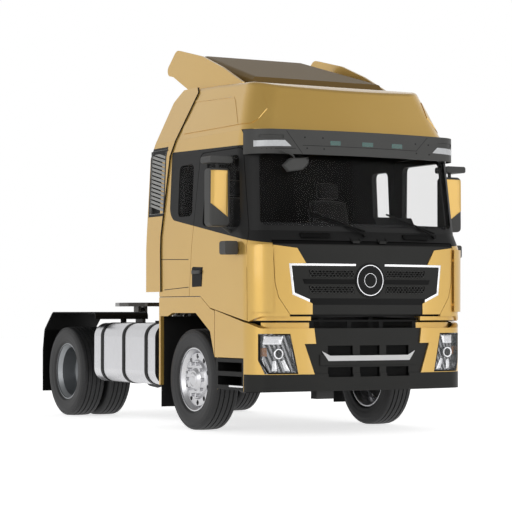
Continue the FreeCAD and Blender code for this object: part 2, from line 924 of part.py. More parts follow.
# Fuel tank on the right side: a polished box with large round corners, midway between
# the front wheel's flare and the rear wheel
tank = body("fuel_tank")
tank_inner = d.tank_outer_x - d.tank_width
tank_top = d.tank_bottom + d.tank_height
tank_middle = (d.flare_rear_station + rear_axle_station - d.tyre_radius - d.tank_clearance) / 2
tank_rear = tank_middle + d.tank_length / 2
tank_outline = [
    (-d.tank_outer_x, d.tank_bottom),
    (-tank_inner, d.tank_bottom),
    (-tank_inner, tank_top),
    (-d.tank_outer_x, tank_top),
]
tank_pad = pad(tank, sketch(tank, "XZ_Plane", tank_outline), d.tank_length)
long_edges = [f"Edge{i}" for i, edge in enumerate(tank_pad.Shape.Edges, start=1)
              if abs(edge.tangentAt(edge.FirstParameter).y) > 0.9]
tank_round = tank.newObject("PartDesign::Fillet", "Corners")
tank_round.Base = (tank_pad, long_edges)
tank_round.setExpression("Radius", d.tank_corner.text)
doc.recompute()
place(tank, y=along(tank_rear))

# Straps round the tank, each with a foot to the frame rail
strap_reach = d.strap_thickness + d.seat_gap
STRAP_SHARES = (-0.36, 0, 0.36)


def tank_ring(grow, y0, y1):
    """The tank's section, larger all round by grow."""
    low, high = d.tank_bottom - grow, tank_top + grow
    left, right = -d.tank_outer_x - grow, -tank_inner + grow
    return front_slab([(left, low), (right, low), (right, high), (left, high)],
                      d.tank_corner + grow, y0, y1)


straps = []
for share in STRAP_SHARES:
    middle = tank_middle + d.tank_length * share
    y0, y1 = along(middle - d.strap_width / 2), along(middle + d.strap_width / 2)
    strap = tank_ring(strap_reach, y0, y1).cut(tank_ring(d.seat_gap, y0, y1))
    foot = box(-tank_inner + d.seat_gap, -d.rail_half_width - d.seat_gap, y0, y1,
               rail_bottom, rail_bottom + d.rail_height / 2)
    straps.append(strap.fuse(foot))
keep("tank_straps", Part.makeCompound(straps))

# Exhaust and battery box on the left side, on two brackets
box_front_station = d.flare_rear_station + d.box_clearance
box_top = d.box_bottom + d.box_height
side_box = front_slab([(tank_inner, d.box_bottom), (d.tank_outer_x, d.box_bottom),
                       (d.tank_outer_x, box_top), (tank_inner, box_top)], d.box_corner,
                      along(box_front_station), along(box_front_station + d.box_length))
BOX_BRACKET_SHARES = (0.2, 0.8)
for share in BOX_BRACKET_SHARES:
    middle = box_front_station + d.box_length * share
    side_box = side_box.fuse(
        box(d.rail_half_width + d.seat_gap, tank_inner + d.box_corner,
            along(middle - d.strap_width / 2), along(middle + d.strap_width / 2),
            rail_bottom, rail_bottom + d.rail_height / 2))
keep("side_box", side_box)


# Bumper: a painted shell with its corners, round a dark centre with the intake
bumper_half = half_width - d.low_in
wide = half_width + d.overrun


def bumper_block(inset, stretch=0):
    """The bumper's closed form, or one that lies inside it by an inset."""
    levels = [plan_wire(height, bumper_half, 0, d.panel_rear_station + d.overrun,
                        d.front_corner_radius, inset)
              for height in (d.bumper_bottom - stretch, d.flare_top + stretch)]
    return Part.makeLoft(levels, True, True)


def bumper_layer(outer, inner):
    """A layer of the bumper's wall between two depths under its outer face."""
    return bumper_block(outer).cut(bumper_block(inner, d.overrun))


bumper_top_line = [
    (-d.overrun, d.bumper_top),
    (d.gap_front_station, d.bumper_top),
    (d.gap_corner_station, d.gap_corner_height - d.bumper_side_drop),
    (d.panel_rear_station, d.panel_rear_top),
]
bumper_outline = bumper_top_line + [(d.panel_rear_station, d.bumper_bottom - d.overrun),
                                    (-d.overrun, d.bumper_bottom - d.overrun)]
bumper_form = side_slab(bumper_outline, 0, -wide, wide)
skirt = bumper_layer(0, d.bumper_wall).common(bumper_form)
front_zone = (along(-d.overrun), along(d.bumper_side_station))


def both_halves(points):
    """A front outline from its right half: points that run from the top to the bottom."""
    return points + [(-x, z) for x, z in points[::-1]]


centre_outline = both_halves([
    (d.centre_half_top, d.gap_front_height),
    (d.centre_half_top, d.bumper_top),
    (d.centre_half_mid, d.centre_step_height),
    (d.centre_half_step, d.centre_step_height),
    (d.centre_half_low, d.valance_top),
    (wide, d.valance_top),
    (wide, d.bumper_bottom - d.overrun),
])
centre_zone = front_slab(centre_outline, 0, *front_zone)


def lamp_outline(shrink=0):
    """The headlamp's outline from the front, smaller on each side by shrink."""
    return [(d.lamp_inner_low + shrink * 2, d.lamp_bottom + shrink),
            (d.lamp_inner_top + shrink, d.lamp_top - shrink),
            (d.lamp_outer - shrink, d.lamp_top - shrink),
            (d.lamp_outer - shrink, d.lamp_outer_bend),
            (d.lamp_outer_low - shrink, d.lamp_bottom + shrink)]


lamp_span = (along(-d.overrun), along(d.lamp_rear_station))
lamp_zone = both_sides(front_slab(lamp_outline(), 0, *lamp_span))
step_zone = both_sides(box(half_width - d.step_depth, wide, along(d.step_front_station),
                           along(d.panel_rear_station + d.overrun),
                           d.bumper_bottom - d.overrun, d.step_top))

# The ledge on top of the bumper that one stands on, with a lip behind the tread
ledge_span = (-wide, wide, along(-d.overrun), along(d.ledge_rear_station))
tread = bumper_layer(0, d.ledge_depth + d.ledge_wall).common(
    box(*ledge_span, d.bumper_top - d.ledge_wall, d.bumper_top))
lip = bumper_layer(d.ledge_depth, d.ledge_depth + d.ledge_wall)
side_lip = lip.common(box(*ledge_span, d.bumper_top - d.ledge_wall, d.ledge_lip_top))
bumper_shell = skirt.cut(centre_zone).fuse(tread.fuse(side_lip).cut(centre_zone))
keep("bumper_shell", bumper_shell.cut(lamp_zone).cut(step_zone))

# The dark centre: set back behind the paint but for one bar, with six openings, and
# above the tread a wall with three more
recess_outline = both_halves([
    (d.centre_half_top, d.bumper_top), (d.centre_half_mid, d.centre_step_height),
    (d.centre_half_step, d.centre_step_height), (d.centre_half_low, d.valance_top)])
recess = bumper_layer(-d.panel_gap, d.centre_recess).common(
    front_slab(recess_outline, 0, *front_zone))
recess = recess.cut(box(-d.cross_bar_half, d.cross_bar_half, *front_zone,
                        d.cross_bar_low, d.cross_bar_top))
openings = []
for low, high in ((d.intake_low, d.intake_low_top), (d.intake_high, d.intake_high_top)):
    openings.append(box(-d.intake_inner_half, d.intake_inner_half, *front_zone, low, high))
    side_opening = box(d.intake_split, d.intake_outer_half, *front_zone, low, high)
    openings += [side_opening, mirrored(side_opening)]
post_inner = d.intake_post_x - d.intake_post_width / 2
post_outer = d.intake_post_x + d.intake_post_width / 2
wall_low, wall_high = d.bumper_top, d.intake_wall_top - d.ledge_wall
wall_side = box(post_outer, d.centre_half_top - d.intake_post_width, *front_zone,
                wall_low, wall_high)
openings += [box(-post_inner, post_inner, *front_zone, wall_low, wall_high),
             wall_side, mirrored(wall_side)]
intake_wall = lip.common(box(*ledge_span, d.bumper_top - d.ledge_wall, d.intake_wall_top))
centre = skirt.fuse(tread.fuse(intake_wall)).common(centre_zone)
centre = centre.cut(recess).cut(step_zone).cut(Part.makeCompound(openings))
carrier = bumper_block(d.bumper_wall / 2).common(
    box(rail_inner + d.rail_wall, web_inner, along(-d.overrun),
        tilt_y - tilt_bearing - d.seat_gap, d.tilt_height - tilt_bearing, d.cross_bar_top))
keep("bumper_centre", centre.multiFuse([carrier, mirrored(carrier)]))

# Headlamps: a housing with a deep bowl and a projector, under a clear cover
lamp_base = bumper_layer(d.lens_wall * 2, d.bumper_wall).common(lamp_zone)
bowl = bumper_layer(0, d.lamp_bowl_depth).common(
    both_sides(front_slab(lamp_outline(d.lamp_rim), d.lamp_rim, *lamp_span)))
projector = bumper_layer(d.lens_wall * 4, d.bumper_wall).common(both_sides(
    rod((d.projector_x, lamp_span[0], d.projector_height),
        (d.projector_x, lamp_span[1], d.projector_height), d.projector_radius)))
keep("headlamps", lamp_base.cut(bowl).fuse(projector))
keep("headlamp_glass", bumper_layer(0, d.lens_wall).common(lamp_zone))

# Painted bars under the cab's front corners, hung from its lower edge
below_cab = side_slab([(-d.overrun, d.bumper_top), (-d.overrun, d.gap_front_height - d.seat_gap)]
                      + [(station, height - d.seat_gap) for station, height in GAP_LINE[:3]]
                      + [(d.gap_mid_station, d.bumper_top)], 0, -wide, wide)
bar = bumper_layer(d.foot_bar_inset, d.foot_bar_inset + d.foot_bar_depth).common(
    box(d.foot_bar_half, wide, *ledge_span[2:], d.foot_bar_low, d.gap_front_height))
web = bumper_layer(d.foot_bar_inset, d.foot_bar_reach).common(
    box(d.foot_bar_half, wide, *ledge_span[2:], d.foot_bar_low + d.foot_bar_height,
        d.gap_front_height))
keep("foot_bars", both_sides(bar.fuse(web).common(below_cab)))

# Entry steps between bumper corner and front wheel
step_block = box(half_width - d.step_depth, bumper_half - d.panel_gap,
                 along(d.step_front_station + d.panel_gap), along(d.step_rear_station),
                 d.panel_bottom, d.step_top - d.panel_gap)
tread_height = (d.step_top - d.panel_bottom - d.panel_wall) / 2
for floor_level in (d.panel_bottom + d.panel_wall, d.panel_bottom + d.panel_wall + tread_height):
    step_block = step_block.cut(
        box(half_width - d.step_depth + d.panel_wall, wide,
            along(d.step_front_station + d.panel_wall), along(d.step_rear_station - d.panel_wall),
            floor_level, floor_level + tread_height - d.panel_wall))
step_arm = box(d.rail_half_width + d.seat_gap, half_width - d.step_depth,
               along(d.step_rear_station - d.step_depth),
               along(d.step_rear_station - d.step_depth + d.bracket_wall * 2),
               rail_bottom, d.step_top - d.panel_gap)
keep("entry_steps", both_sides(step_block.fuse(step_arm)))

# Flares over the front wheels, with the arch liner and the strip behind the wheel
flare_low = d.flare_rear_low + d.mudguard_edge
flare_outline = [
    (d.panel_rear_station + d.panel_gap, d.gap_mid_height - d.panel_gap * 4),
    (d.gap_mid_station, d.gap_mid_height - d.panel_gap),
    (d.flare_front_station, d.flare_top - d.panel_gap),
    (d.flare_rear_station, d.flare_top - d.panel_gap),
    (d.flare_rear_station, d.flare_rear_low),
    (d.flare_rear_station - d.arch_clearance * 2, d.flare_rear_low),
    (d.flare_rear_station - d.arch_clearance * 3, flare_low),
    (d.flare_front_station + d.arch_clearance, flare_low),
    (d.gap_mid_station, d.bumper_top - d.mudguard_edge),
    (d.panel_rear_station + d.panel_gap, d.step_top + d.panel_gap),
]
flare = side_slab(flare_outline, 0, bumper_half - d.panel_wall, bumper_half)
liner_top = d.flare_top - d.panel_gap * 3
liner_front = d.panel_rear_station + d.panel_gap * 3
liner_outline = [
    (liner_front, d.gap_mid_height - d.panel_gap * 8),
    (d.flare_front_station, liner_top),
    (d.flare_rear_station, liner_top),
    (d.flare_rear_station, liner_top - d.mudguard_wall),
    (d.flare_front_station, liner_top - d.mudguard_wall),
    (liner_front + d.mudguard_wall, d.gap_mid_height - d.panel_gap * 9),
    (liner_front + d.mudguard_wall, d.bumper_bottom),
    (liner_front, d.bumper_bottom),
]
liner = side_slab(liner_outline, 0, d.rail_half_width + d.leaf_width,
                  bumper_half - d.panel_wall)
keep("wheel_flares", both_sides(flare.fuse(liner)))

strip_front = d.flare_rear_station - d.mudguard_edge
strip_inner = d.rail_half_width + d.leaf_width * 2
strip = box(strip_inner, bumper_half, along(strip_front), along(d.flare_rear_station),
            d.mudguard_low, d.flare_rear_low - d.seat_gap)
rubber = box(d.front_wheel_x - d.tyre_width / 2, bumper_half - d.panel_gap * 2,
             along(strip_front), along(strip_front + d.flap_wall), d.flap_low, d.mudguard_low)
bracket = box(d.rail_half_width + d.seat_gap, strip_inner,
              along(strip_front), along(d.flare_rear_station),
              rail_bottom + d.rail_height / 4, d.rail_top - d.rail_height / 4)
keep("front_mudguards", both_sides(strip.multiFuse([rubber, bracket])))


# Rear mudguards: a plate over the twin wheels that bends down behind them to a rubber flap
def guard_form(inset):
    """The space under the guard's outer face, or under a face inside it by an inset."""
    outline = [
        (rear_axle_station - d.rear_guard_front + inset, d.rear_guard_lip - inset),
        (rear_axle_station - d.rear_guard_front + inset, d.rear_guard_top - inset),
        (rear_axle_station + d.rear_guard_bend - inset / 2, d.rear_guard_top - inset),
        (rear_axle_station + d.rear_guard_slope - inset, d.rear_guard_slope_height - inset / 2),
        (overall_length - inset, d.rear_guard_low - inset),
    ]
    bend = d.rear_guard_round - inset
    return side_slab(outline, [0, bend / 2, bend, bend, 0],
                     d.rear_guard_inner, d.rear_guard_outer)


guard = guard_form(0).cut(guard_form(d.rear_guard_wall)).cut(
    side_slab([(rear_axle_station - d.rear_guard_front + d.rear_guard_wall, d.rear_guard_lip),
               (overall_length - d.rear_guard_wall, d.rear_guard_low),
               (overall_length - d.rear_guard_wall, 0),
               (rear_axle_station - d.rear_guard_front, 0)], 0,
              d.rear_guard_inner, d.rear_guard_outer))
rear_rubber = box(d.rear_guard_inner, d.rear_guard_outer,
                  along(overall_length - d.rear_guard_wall), along(overall_length),
                  d.rear_flap_low, d.rear_guard_low + d.rear_guard_wall)
guard_arm = box(d.rail_half_width + d.seat_gap, d.rear_guard_inner + d.bracket_wall,
                rear_y - d.bracket_wall, rear_y + d.bracket_wall,
                d.rear_guard_top - d.bracket_wall, d.rear_guard_top - d.rear_guard_wall / 2)
guard_foot = box(d.rail_half_width + d.seat_gap, d.rail_half_width + d.bracket_wall,
                 rear_y - d.bracket_wall, rear_y + d.bracket_wall,
                 rail_middle, d.rear_guard_top - d.rear_guard_wall / 2)
keep("rear_mudguards", both_sides(guard.multiFuse([rear_rubber, guard_arm, guard_foot])))

# Coupling: base plate and two bearing brackets on the frame
coupling_y = along(coupling_station)
base_low = d.rail_top + d.seat_gap
base = box(-d.rail_half_width, d.rail_half_width, coupling_y - d.coupling_front,
           coupling_y + d.coupling_front, base_low, base_low + d.base_plate)
cheek_x = (d.throat_half + d.bracket_wall, d.throat_half + d.bracket_wall * 2)
pivot_boss = d.pivot_radius * 3 / 2
cheek = box(*cheek_x, coupling_y - d.pivot_radius * 3, coupling_y + d.pivot_radius * 3,
            base_low + d.base_plate / 2, d.pivot_height)
cheek = cheek.fuse(rod((cheek_x[0], coupling_y, d.pivot_height),
                       (cheek_x[1], coupling_y, d.pivot_height), pivot_boss))
cheek = cheek.cut(rod((cheek_x[0] - d.overrun, coupling_y, d.pivot_height),
                      (cheek_x[1] + d.overrun, coupling_y, d.pivot_height),
                      d.pivot_radius + d.spindle_clearance))
keep("coupling_base", base.multiFuse([cheek, mirrored(cheek)]))

# Coupling plate: a rounded table with a flared throat up to the jaw's wall
plate_low = d.coupling_top - d.coupling_plate
bore = d.kingpin_bore / 2
plate_half = [
    (d.coupling_front_half, -d.coupling_front),
    (d.coupling_half, -d.coupling_front / 3),
    (d.coupling_half, d.coupling_rear / 3),
    (d.coupling_rear_half, d.coupling_rear),
    (d.throat_half, d.coupling_rear),
    (bore, d.coupling_rear / 3),
    (bore, bore + d.jaw_wall),
]
PLATE_ROUND_SHARES = (1, 1, 1, 0.5, 0.12, 0, 0)
plate_rounds = [d.plate_round * share for share in PLATE_ROUND_SHARES]
plate_points = [(x, coupling_y + reach, plate_low) for x, reach in both_halves(plate_half)]
plate = slab(plate_points, plate_rounds + plate_rounds[::-1], (0, 0, d.coupling_plate))
plate = plate.cut(Part.makeCylinder(bore, d.coupling_plate * 3,
                                    Vector(0, coupling_y, plate_low - d.coupling_plate)))
lug_wall = d.bracket_wall - d.pivot_clearance
lugs = []
for inner_x in (d.throat_half, cheek_x[1] + d.pivot_clearance):
    lug = box(inner_x, inner_x + lug_wall,
              coupling_y - d.pivot_radius * 2, coupling_y + d.pivot_radius * 2,
              d.pivot_height - pivot_boss, plate_low + d.base_plate)
    lugs += [lug, mirrored(lug)]
pivot = rod((d.throat_half, coupling_y, d.pivot_height),
            (cheek_x[1] + d.bracket_wall, coupling_y, d.pivot_height), d.pivot_radius)
keep("coupling_plate", plate.multiFuse(lugs + [pivot, mirrored(pivot)]))

# Tail lamps on their bar, and a walkway plate between cab and coupling
tail_lamp = box(d.rail_half_width / 2, d.rail_half_width,
                tail_y + d.tail_bar_depth / 2 + d.seat_gap, tail_y + d.tail_bar_depth,
                rail_bottom, rail_bottom + d.tail_bar_height)
keep("tail_lamps", both_sides(tail_lamp))
keep("deck_plate", box(-d.deck_half, d.deck_half, along(d.deck_front_station),
                       along(rear_axle_station - d.deck_ahead), d.rail_top + d.seat_gap,
                       d.rail_top + d.seat_gap + d.deck_wall))


# Cab body: outer form, hollowed, with doors, screen, side windows and flap cut out
shell = cab_block().cut(cab_block(d.cab_wall, d.bulkhead, d.overrun))
under_gap = [(-d.overrun, d.cab_low - d.overrun), (-d.overrun, d.gap_front_height)] + GAP_LINE + [
    (d.flare_rear_station - d.panel_gap, d.flare_top),
    (d.flare_rear_station - d.panel_gap, d.cab_rear_low),
    (d.cab_rear_station + d.overrun, d.cab_rear_low),
    (d.cab_rear_station + d.overrun, d.cab_low - d.overrun)]
shell = shell.cut(side_slab(under_gap, 0, -wide, wide))


def door_outline(grow=0):
    """The door's outline seen from the side, larger on each side by grow."""
    return [
        (d.door_front_station - grow, d.cab_low - d.overrun),
        (d.door_front_station - grow, d.door_bend_height),
        (d.door_front_high - grow, d.door_top + grow),
        (d.door_rear_top + grow, d.door_top + grow),
        (d.door_rear_mid + grow, d.door_bend_height),
        (d.door_rear_low + grow, d.flare_top - d.panel_gap),
        (d.door_rear_low + grow, d.cab_low - d.overrun),
    ]


door_span = (half_width - d.door_span, wide)
door_rounds = [0, 0, d.door_top_round, d.door_rear_round, 0, 0, 0]
door_hole = side_slab(door_outline(d.door_gap), door_rounds, *door_span)
window_outline = [
    (d.door_window_front, d.door_window_low_front),
    (d.door_window_front_high, d.door_window_top),
    (d.door_window_rear - d.window_round, d.door_window_top),
    (d.door_window_rear, d.door_window_low_rear),
]
window_hole = side_slab(window_outline, d.window_round, *door_span)
quarter_outline = [
    (d.quarter_front, d.quarter_low), (d.quarter_front, d.quarter_top),
    (d.quarter_rear, d.quarter_top), (d.quarter_rear, d.quarter_low)]
quarter_hole = side_slab(quarter_outline, d.window_round, *door_span)
screen_outline = both_halves([(d.screen_half_top, d.screen_top), (d.screen_half_low, d.screen_low)])
screen_hole = front_slab(screen_outline, d.window_round, along(-d.overrun),
                         along(d.visor_side_station))


def flap_outline(grow=0, drop=0):
    """The front flap's outline, larger by grow and carried down by drop."""
    return both_halves([
        (d.flap_half_high + grow, d.flap_top + grow),
        (d.flap_half_high + grow, d.flap_top - d.flap_wall_depth),
        (d.flap_waist_half + grow, d.flap_waist_height),
        (d.flap_hip_half + grow, d.flap_hip_height),
        (d.flap_half_low + grow, d.flap_bottom),
        (d.flap_half_low + grow, d.flap_bottom - drop - grow)][:6 if drop else 5])


# The recess for the flap follows the front's bow at one depth
flap_span = (along(-d.overrun), along(d.door_front_station))
flap_recess = cab_skin(-d.panel_gap, d.flap_pocket).common(
    front_slab(flap_outline(d.flap_gap, d.overrun), 0, *flap_span))
shell = shell.cut(both_sides(door_hole)).cut(both_sides(quarter_hole)).cut(screen_hole)
shell = shell.cut(flap_recess)


# The flap's two hinges: a pin between a pair of lugs on the cab, in a barrel on the flap
def hinge_rod(x0, x1, radius):
    """A round bar on the flap's hinge line."""
    y, z = along(d.flap_hinge_station), d.flap_top + d.flap_gap / 2
    return rod((x0, y, z), (x1, y, z), radius)


hinge_outer = d.flap_hinge_x + d.flap_hinge_length
lug_inner, lug_outer = d.flap_hinge_x + d.flap_lug_wall, hinge_outer - d.flap_lug_wall
lug_outline = [
    (d.flap_hinge_station - d.flap_pin_radius, d.flap_top + d.flap_gap),
    (d.flap_hinge_station - d.flap_pin_radius, d.flap_top),
    (d.flap_hinge_station + d.flap_pin_radius, d.flap_top),
    (d.flap_hinge_station * 2, d.flap_top + d.flap_lug_wall),
    (d.bulkhead, d.flap_top + d.flap_wall_depth),
    (d.bulkhead, d.flap_top + d.flap_wall_depth * 2)]
flap_mount = hinge_rod(d.flap_hinge_x, hinge_outer, d.flap_pin_radius)
for x0, x1 in ((d.flap_hinge_x, lug_inner), (lug_outer, hinge_outer)):
    flap_mount = flap_mount.fuse(side_slab(lug_outline, 0, x0, x1))
shell = shell.multiFuse([flap_mount, mirrored(flap_mount)])
keep("cab_shell", shell)

# Doors, cut from the same wall as the cab, with two hinge barrels at the front edge
above_gap = [(-d.overrun, d.gap_front_height)] + GAP_LINE + [
    (d.flare_rear_station - d.panel_gap, d.flare_top),
    (d.flare_rear_station, d.roof_base), (-d.overrun, d.roof_base)]
door = cab_skin(0, d.cab_wall).common(side_slab(door_outline(), door_rounds, *door_span)).common(
    side_slab(above_gap, 0, -wide, wide)).cut(window_hole)
hinge_x, hinge_y = half_width - d.hinge_inset, along(d.door_front_station)
barrels = [rod((hinge_x, hinge_y, height), (hinge_x, hinge_y, height + d.hinge_length),
               d.hinge_radius) for height in (d.hinge_low, d.hinge_high)]
door = door.multiFuse(barrels)
keep("door_left", door)
keep("door_right", mirrored(door))
glass_layer = cab_skin(d.glass_setback, d.glass_setback + d.glass_wall)
door_glass = glass_layer.common(window_hole)
keep("door_glass_left", door_glass)
keep("door_glass_right", mirrored(door_glass))
keep("windscreen", glass_layer.common(screen_hole))
keep("quarter_glass", both_sides(glass_layer.common(quarter_hole)))

# Front flap: the painted wings stand forward on each side of the dark grille panel,
# which has two rows of slanting cells and a plain disc
grille_outline = both_halves([
    (d.flap_half_high + d.overrun, d.flap_top + d.overrun),
    (d.flap_half_high + d.overrun, d.wing_top_height),
    (d.wing_shoulder_x, d.wing_shoulder_height),
    (d.wing_neck_x, d.wing_neck_height),
    (d.grille_half_high, d.grille_high),
    (d.grille_half_low, d.grille_low),
    (d.grille_foot_x, d.grille_foot_height),
    (d.chin_half, d.chin_height),
    (d.chin_half, d.flap_bottom - d.overrun),
])
flap_form = front_slab(flap_outline(), 0, *flap_span)
grille_form = front_slab(grille_outline, 0, *flap_span)
flap_panel = cab_skin(0, d.flap_wall_depth).common(flap_form)
keep("front_flap", flap_panel.cut(cab_skin(-d.panel_gap, d.grille_wall).common(grille_form)))
grille = cab_skin(d.badge_rise, d.grille_wall - d.seat_gap).common(flap_form).common(grille_form)
barrel_span = (lug_inner + d.flap_gap, lug_outer - d.flap_gap)
barrel = hinge_rod(*barrel_span, d.flap_barrel_radius).fuse(
    box(*barrel_span, along(d.flap_hinge_station - d.flap_pin_radius),
        along(d.flap_hinge_station * 2 + d.flap_pin_radius),
        d.flap_top - d.flap_hinge_station, d.flap_top))
barrel = barrel.cut(hinge_rod(*barrel_span, d.flap_pin_radius + d.spindle_clearance))
cell_pitch = (d.grille_row_outer - d.grille_row_inner) / d.grille_cells
cells = []
for low in (d.grille_row_low, d.grille_row_high):
    for column in range(int(d.grille_cells)):
        left = d.grille_row_inner + cell_pitch * column
        right = left + cell_pitch - d.grille_bar
        cells.append(front_slab(
            [(left, low), (right, low), (right + d.grille_cell_lean, low + d.grille_row_height),
             (left + d.grille_cell_lean, low + d.grille_row_height)], 0, *flap_span))
cell_layer = cab_skin(0, d.grille_wall - d.grille_back)
grille = grille.cut(cell_layer.common(both_sides(Part.makeCompound(cells))))
badge = cab_skin(0, d.grille_wall - d.seat_gap).common(
    rod((0, flap_span[0], d.badge_height), (0, flap_span[1], d.badge_height), d.badge_radius))
keep("grille", grille.multiFuse([badge, barrel, mirrored(barrel)]))


# Roof: sides leaning in, a sloping brow and a top that rises to the rear
def roof_block(inset):
    """The roof's form above the cab, or one that lies inside it by an inset."""
    base = d.roof_base + d.seat_gap - (d.overrun if inset > 0 else 0)
    levels = [
        plan_wire(base, half_width - d.roof_base_in, d.roof_base_setback,
                  d.cab_rear_station, d.front_corner_radius, inset),
        plan_wire(d.roof_apex, half_width - d.roof_base_in - d.roof_apex_in,
                  d.roof_apex_setback, d.cab_rear_station, d.front_corner_radius, inset),
    ]
    profile = [
        (-d.overrun, d.roof_base - d.overrun * 2), (-d.overrun, d.roof_brow_low - inset),
        (d.roof_front_station, d.roof_front_height - inset),
        (d.roof_middle_station, d.roof_middle_height - inset),
        (d.cab_rear_station + d.overrun, d.roof_rear_height - inset),
        (d.cab_rear_station + d.overrun, d.roof_base - d.overrun * 2)]
    return Part.makeLoft(levels, True, True).common(
        side_slab(profile, [0, 0, d.roof_front_round, 0, 0, 0], -wide, wide))


def on_top_rim(edge):
    """Whether an edge lies between the roof's top and its front or sides."""
    span = edge.BoundBox
    return (span.ZMin > d.roof_base + d.roof_wall * 2 and span.YLength > d.least_radius
            and edge.CenterOfMass.y < along(d.cab_rear_station - d.rear_corner_radius))


roof = roof_block(0)
rim_edges = [edge for edge in roof.Edges if on_top_rim(edge)]
roof = roof.makeFillet(float(d.roof_edge_round), rim_edges)
side_panel = roof_block(-d.roof_panel_raise).common(both_sides(side_slab(
    [(d.roof_panel_front, d.roof_base + d.overrun), (d.roof_panel_front, d.roof_panel_top),
     (d.roof_panel_rear_top, d.roof_panel_top),
     (d.roof_panel_rear_low, d.roof_base + d.overrun)], d.roof_panel_round, *door_span)))
roof = roof.fuse(side_panel).cut(roof_block(d.roof_wall))
keep("cab_roof", roof)


# Sun visor across the top of the screen, with a sunk lamp at each end
def visor_block(inset, low, high):
    """The visor's closed form between two heights, or one inside it by an inset."""
    return Part.makeLoft(
        [plan_wire(height, half_width - d.header_in, d.header_setback - d.visor_reach,
                   d.visor_side_station + d.bulkhead * 3, d.front_corner_radius, inset)
         for height in (low, high)], True, True)


visor = visor_block(0, d.visor_low, d.visor_top).cut(
    visor_block(d.visor_wall, d.visor_low - d.overrun, d.visor_top - d.visor_wall))
marker_form = front_slab(
    [(d.marker_inner, d.marker_low), (d.marker_outer, d.marker_low),
     (d.marker_outer, d.marker_top), (d.marker_inner, d.marker_top)],
    (d.marker_top - d.marker_low) / 3, along(-d.overrun), along(d.visor_side_station))
marker_layer = visor_block(0, d.visor_low, d.visor_top).cut(
    visor_block(d.marker_depth, d.visor_low - d.overrun, d.visor_top + d.overrun))
visor = visor.cut(marker_layer.common(both_sides(marker_form)))
visor = visor.cut(cab_block(-d.seat_gap)).cut(
    box(-wide, wide, along(d.visor_side_station), along(d.cab_rear_station),
        d.visor_low - d.overrun, d.visor_top + d.overrun))
keep("sun_visor", visor)


# Roof spoiler: a hood that opens to the rear, and a fin on each side of it
def hood(inset):
    """The hood's form, narrow and low in front and tall at the rear."""
    sections = []
    for station, half, height, bend in (
            (d.spoiler_front_station + inset * 2, d.spoiler_half_low,
             d.roof_middle_height + d.overrun, d.spoiler_wall * 2),
            (d.spoiler_rear_station + (d.overrun if inset else 0), d.spoiler_half_top,
             d.spoiler_top, d.spoiler_round)):
        y = along(station)
        low = d.roof_front_height
        foot = d.spoiler_half_low - inset
        points = [(-foot, y, low), (foot, y, low), (half - inset, y, height - inset),
                  (inset - half, y, height - inset)]
        sections.append(rounded(points, [0, 0, bend - inset / 2, bend - inset / 2]))
    return Part.makeLoft(sections, True, True)


fin_outline = [
    (d.fin_front_station, d.roof_front_height), (d.fin_front_station, d.fin_front_height),
    (d.fin_first_station, d.fin_first_height), (d.fin_second_station, d.fin_second_height),
    (d.fin_rear_station, d.fin_top), (d.fin_tail_station, d.fin_tail_height),
    (d.neck_rear_station, d.fin_under), (d.cab_rear_station, d.neck_low),
    (d.cab_rear_station, d.roof_front_height)]
FIN_ROUND_SHARES = (0, 0, 1, 1, 0.4, 0.2, 0.2, 0, 0)
fin = side_slab(fin_outline, [d.fin_round * share for share in FIN_ROUND_SHARES],
                d.fin_x, d.fin_x + d.fin_wall)
brace_y = along(d.spoiler_rear_station - d.overrun)
brace = rod((-d.fin_x - d.fin_wall / 2, brace_y, d.brace_height),
            (d.fin_x + d.fin_wall / 2, brace_y, d.brace_height), d.brace_radius)
spoiler = hood(0).cut(hood(d.spoiler_wall)).multiFuse([fin, mirrored(fin), brace])
keep("roof_spoiler", spoiler.cut(roof_block(-d.seat_gap)))


# Side fairings that carry the cab's sides on past its rear wall, with a louvre in each
def fairing_block(inset):
    """The cab's and roof's form drawn out to the rear."""
    levels = cab_rows(inset, 0, d.fairing_rear_low + d.overrun)
    levels.append(plan_wire(d.roof_apex, half_width - d.roof_base_in - d.roof_apex_in,
                            d.roof_apex_setback, d.fairing_rear_low + d.overrun,
                            d.front_corner_radius, inset))
    return Part.makeLoft(levels, True, True)


fairing_outline = [
    (d.fairing_front_low, d.cab_rear_low), (d.fairing_front_low, d.sill_height),
    (d.fairing_front_mid, d.header_height), (d.fairing_front_high, d.fairing_top - d.overrun),
    (d.fairing_front_high + d.overrun, d.fairing_top),
    (d.cab_rear_station - d.overrun * 2, d.fairing_top),
    (d.fairing_rear_high, d.fairing_top - d.overrun * 2),
    (d.fairing_rear_station, d.header_height), (d.fairing_rear_low, d.cab_rear_low)]
FAIRING_ROUND_SHARES = (0, 0, 0, 0.1, 0.1, 0.2, 0.3, 1, 0)
fairing_span = (half_width / 2, wide)
fairing_form = side_slab(fairing_outline, [d.fairing_round * share
                                           for share in FAIRING_ROUND_SHARES], *fairing_span)
fairing = fairing_block(-d.fairing_stand).cut(
    fairing_block(d.fairing_wall - d.fairing_stand)).common(fairing_form)
fairing = fairing.cut(cab_block(-d.seat_gap)).cut(roof_block(-d.seat_gap))
louvre_outline = [(d.louvre_front, d.louvre_low), (d.louvre_rear, d.louvre_low),
                  (d.louvre_rear, d.louvre_top), (d.louvre_front, d.louvre_top)]
fairing = fairing.cut(side_slab(louvre_outline, d.louvre_round, *fairing_span))
slat_layer = fairing_block(-d.louvre_slat_out).cut(
    fairing_block(d.louvre_slat_wall - d.louvre_slat_out))
slat_pitch = (d.louvre_top - d.louvre_low - d.louvre_slat_rise) / d.louvre_slats
slats = []
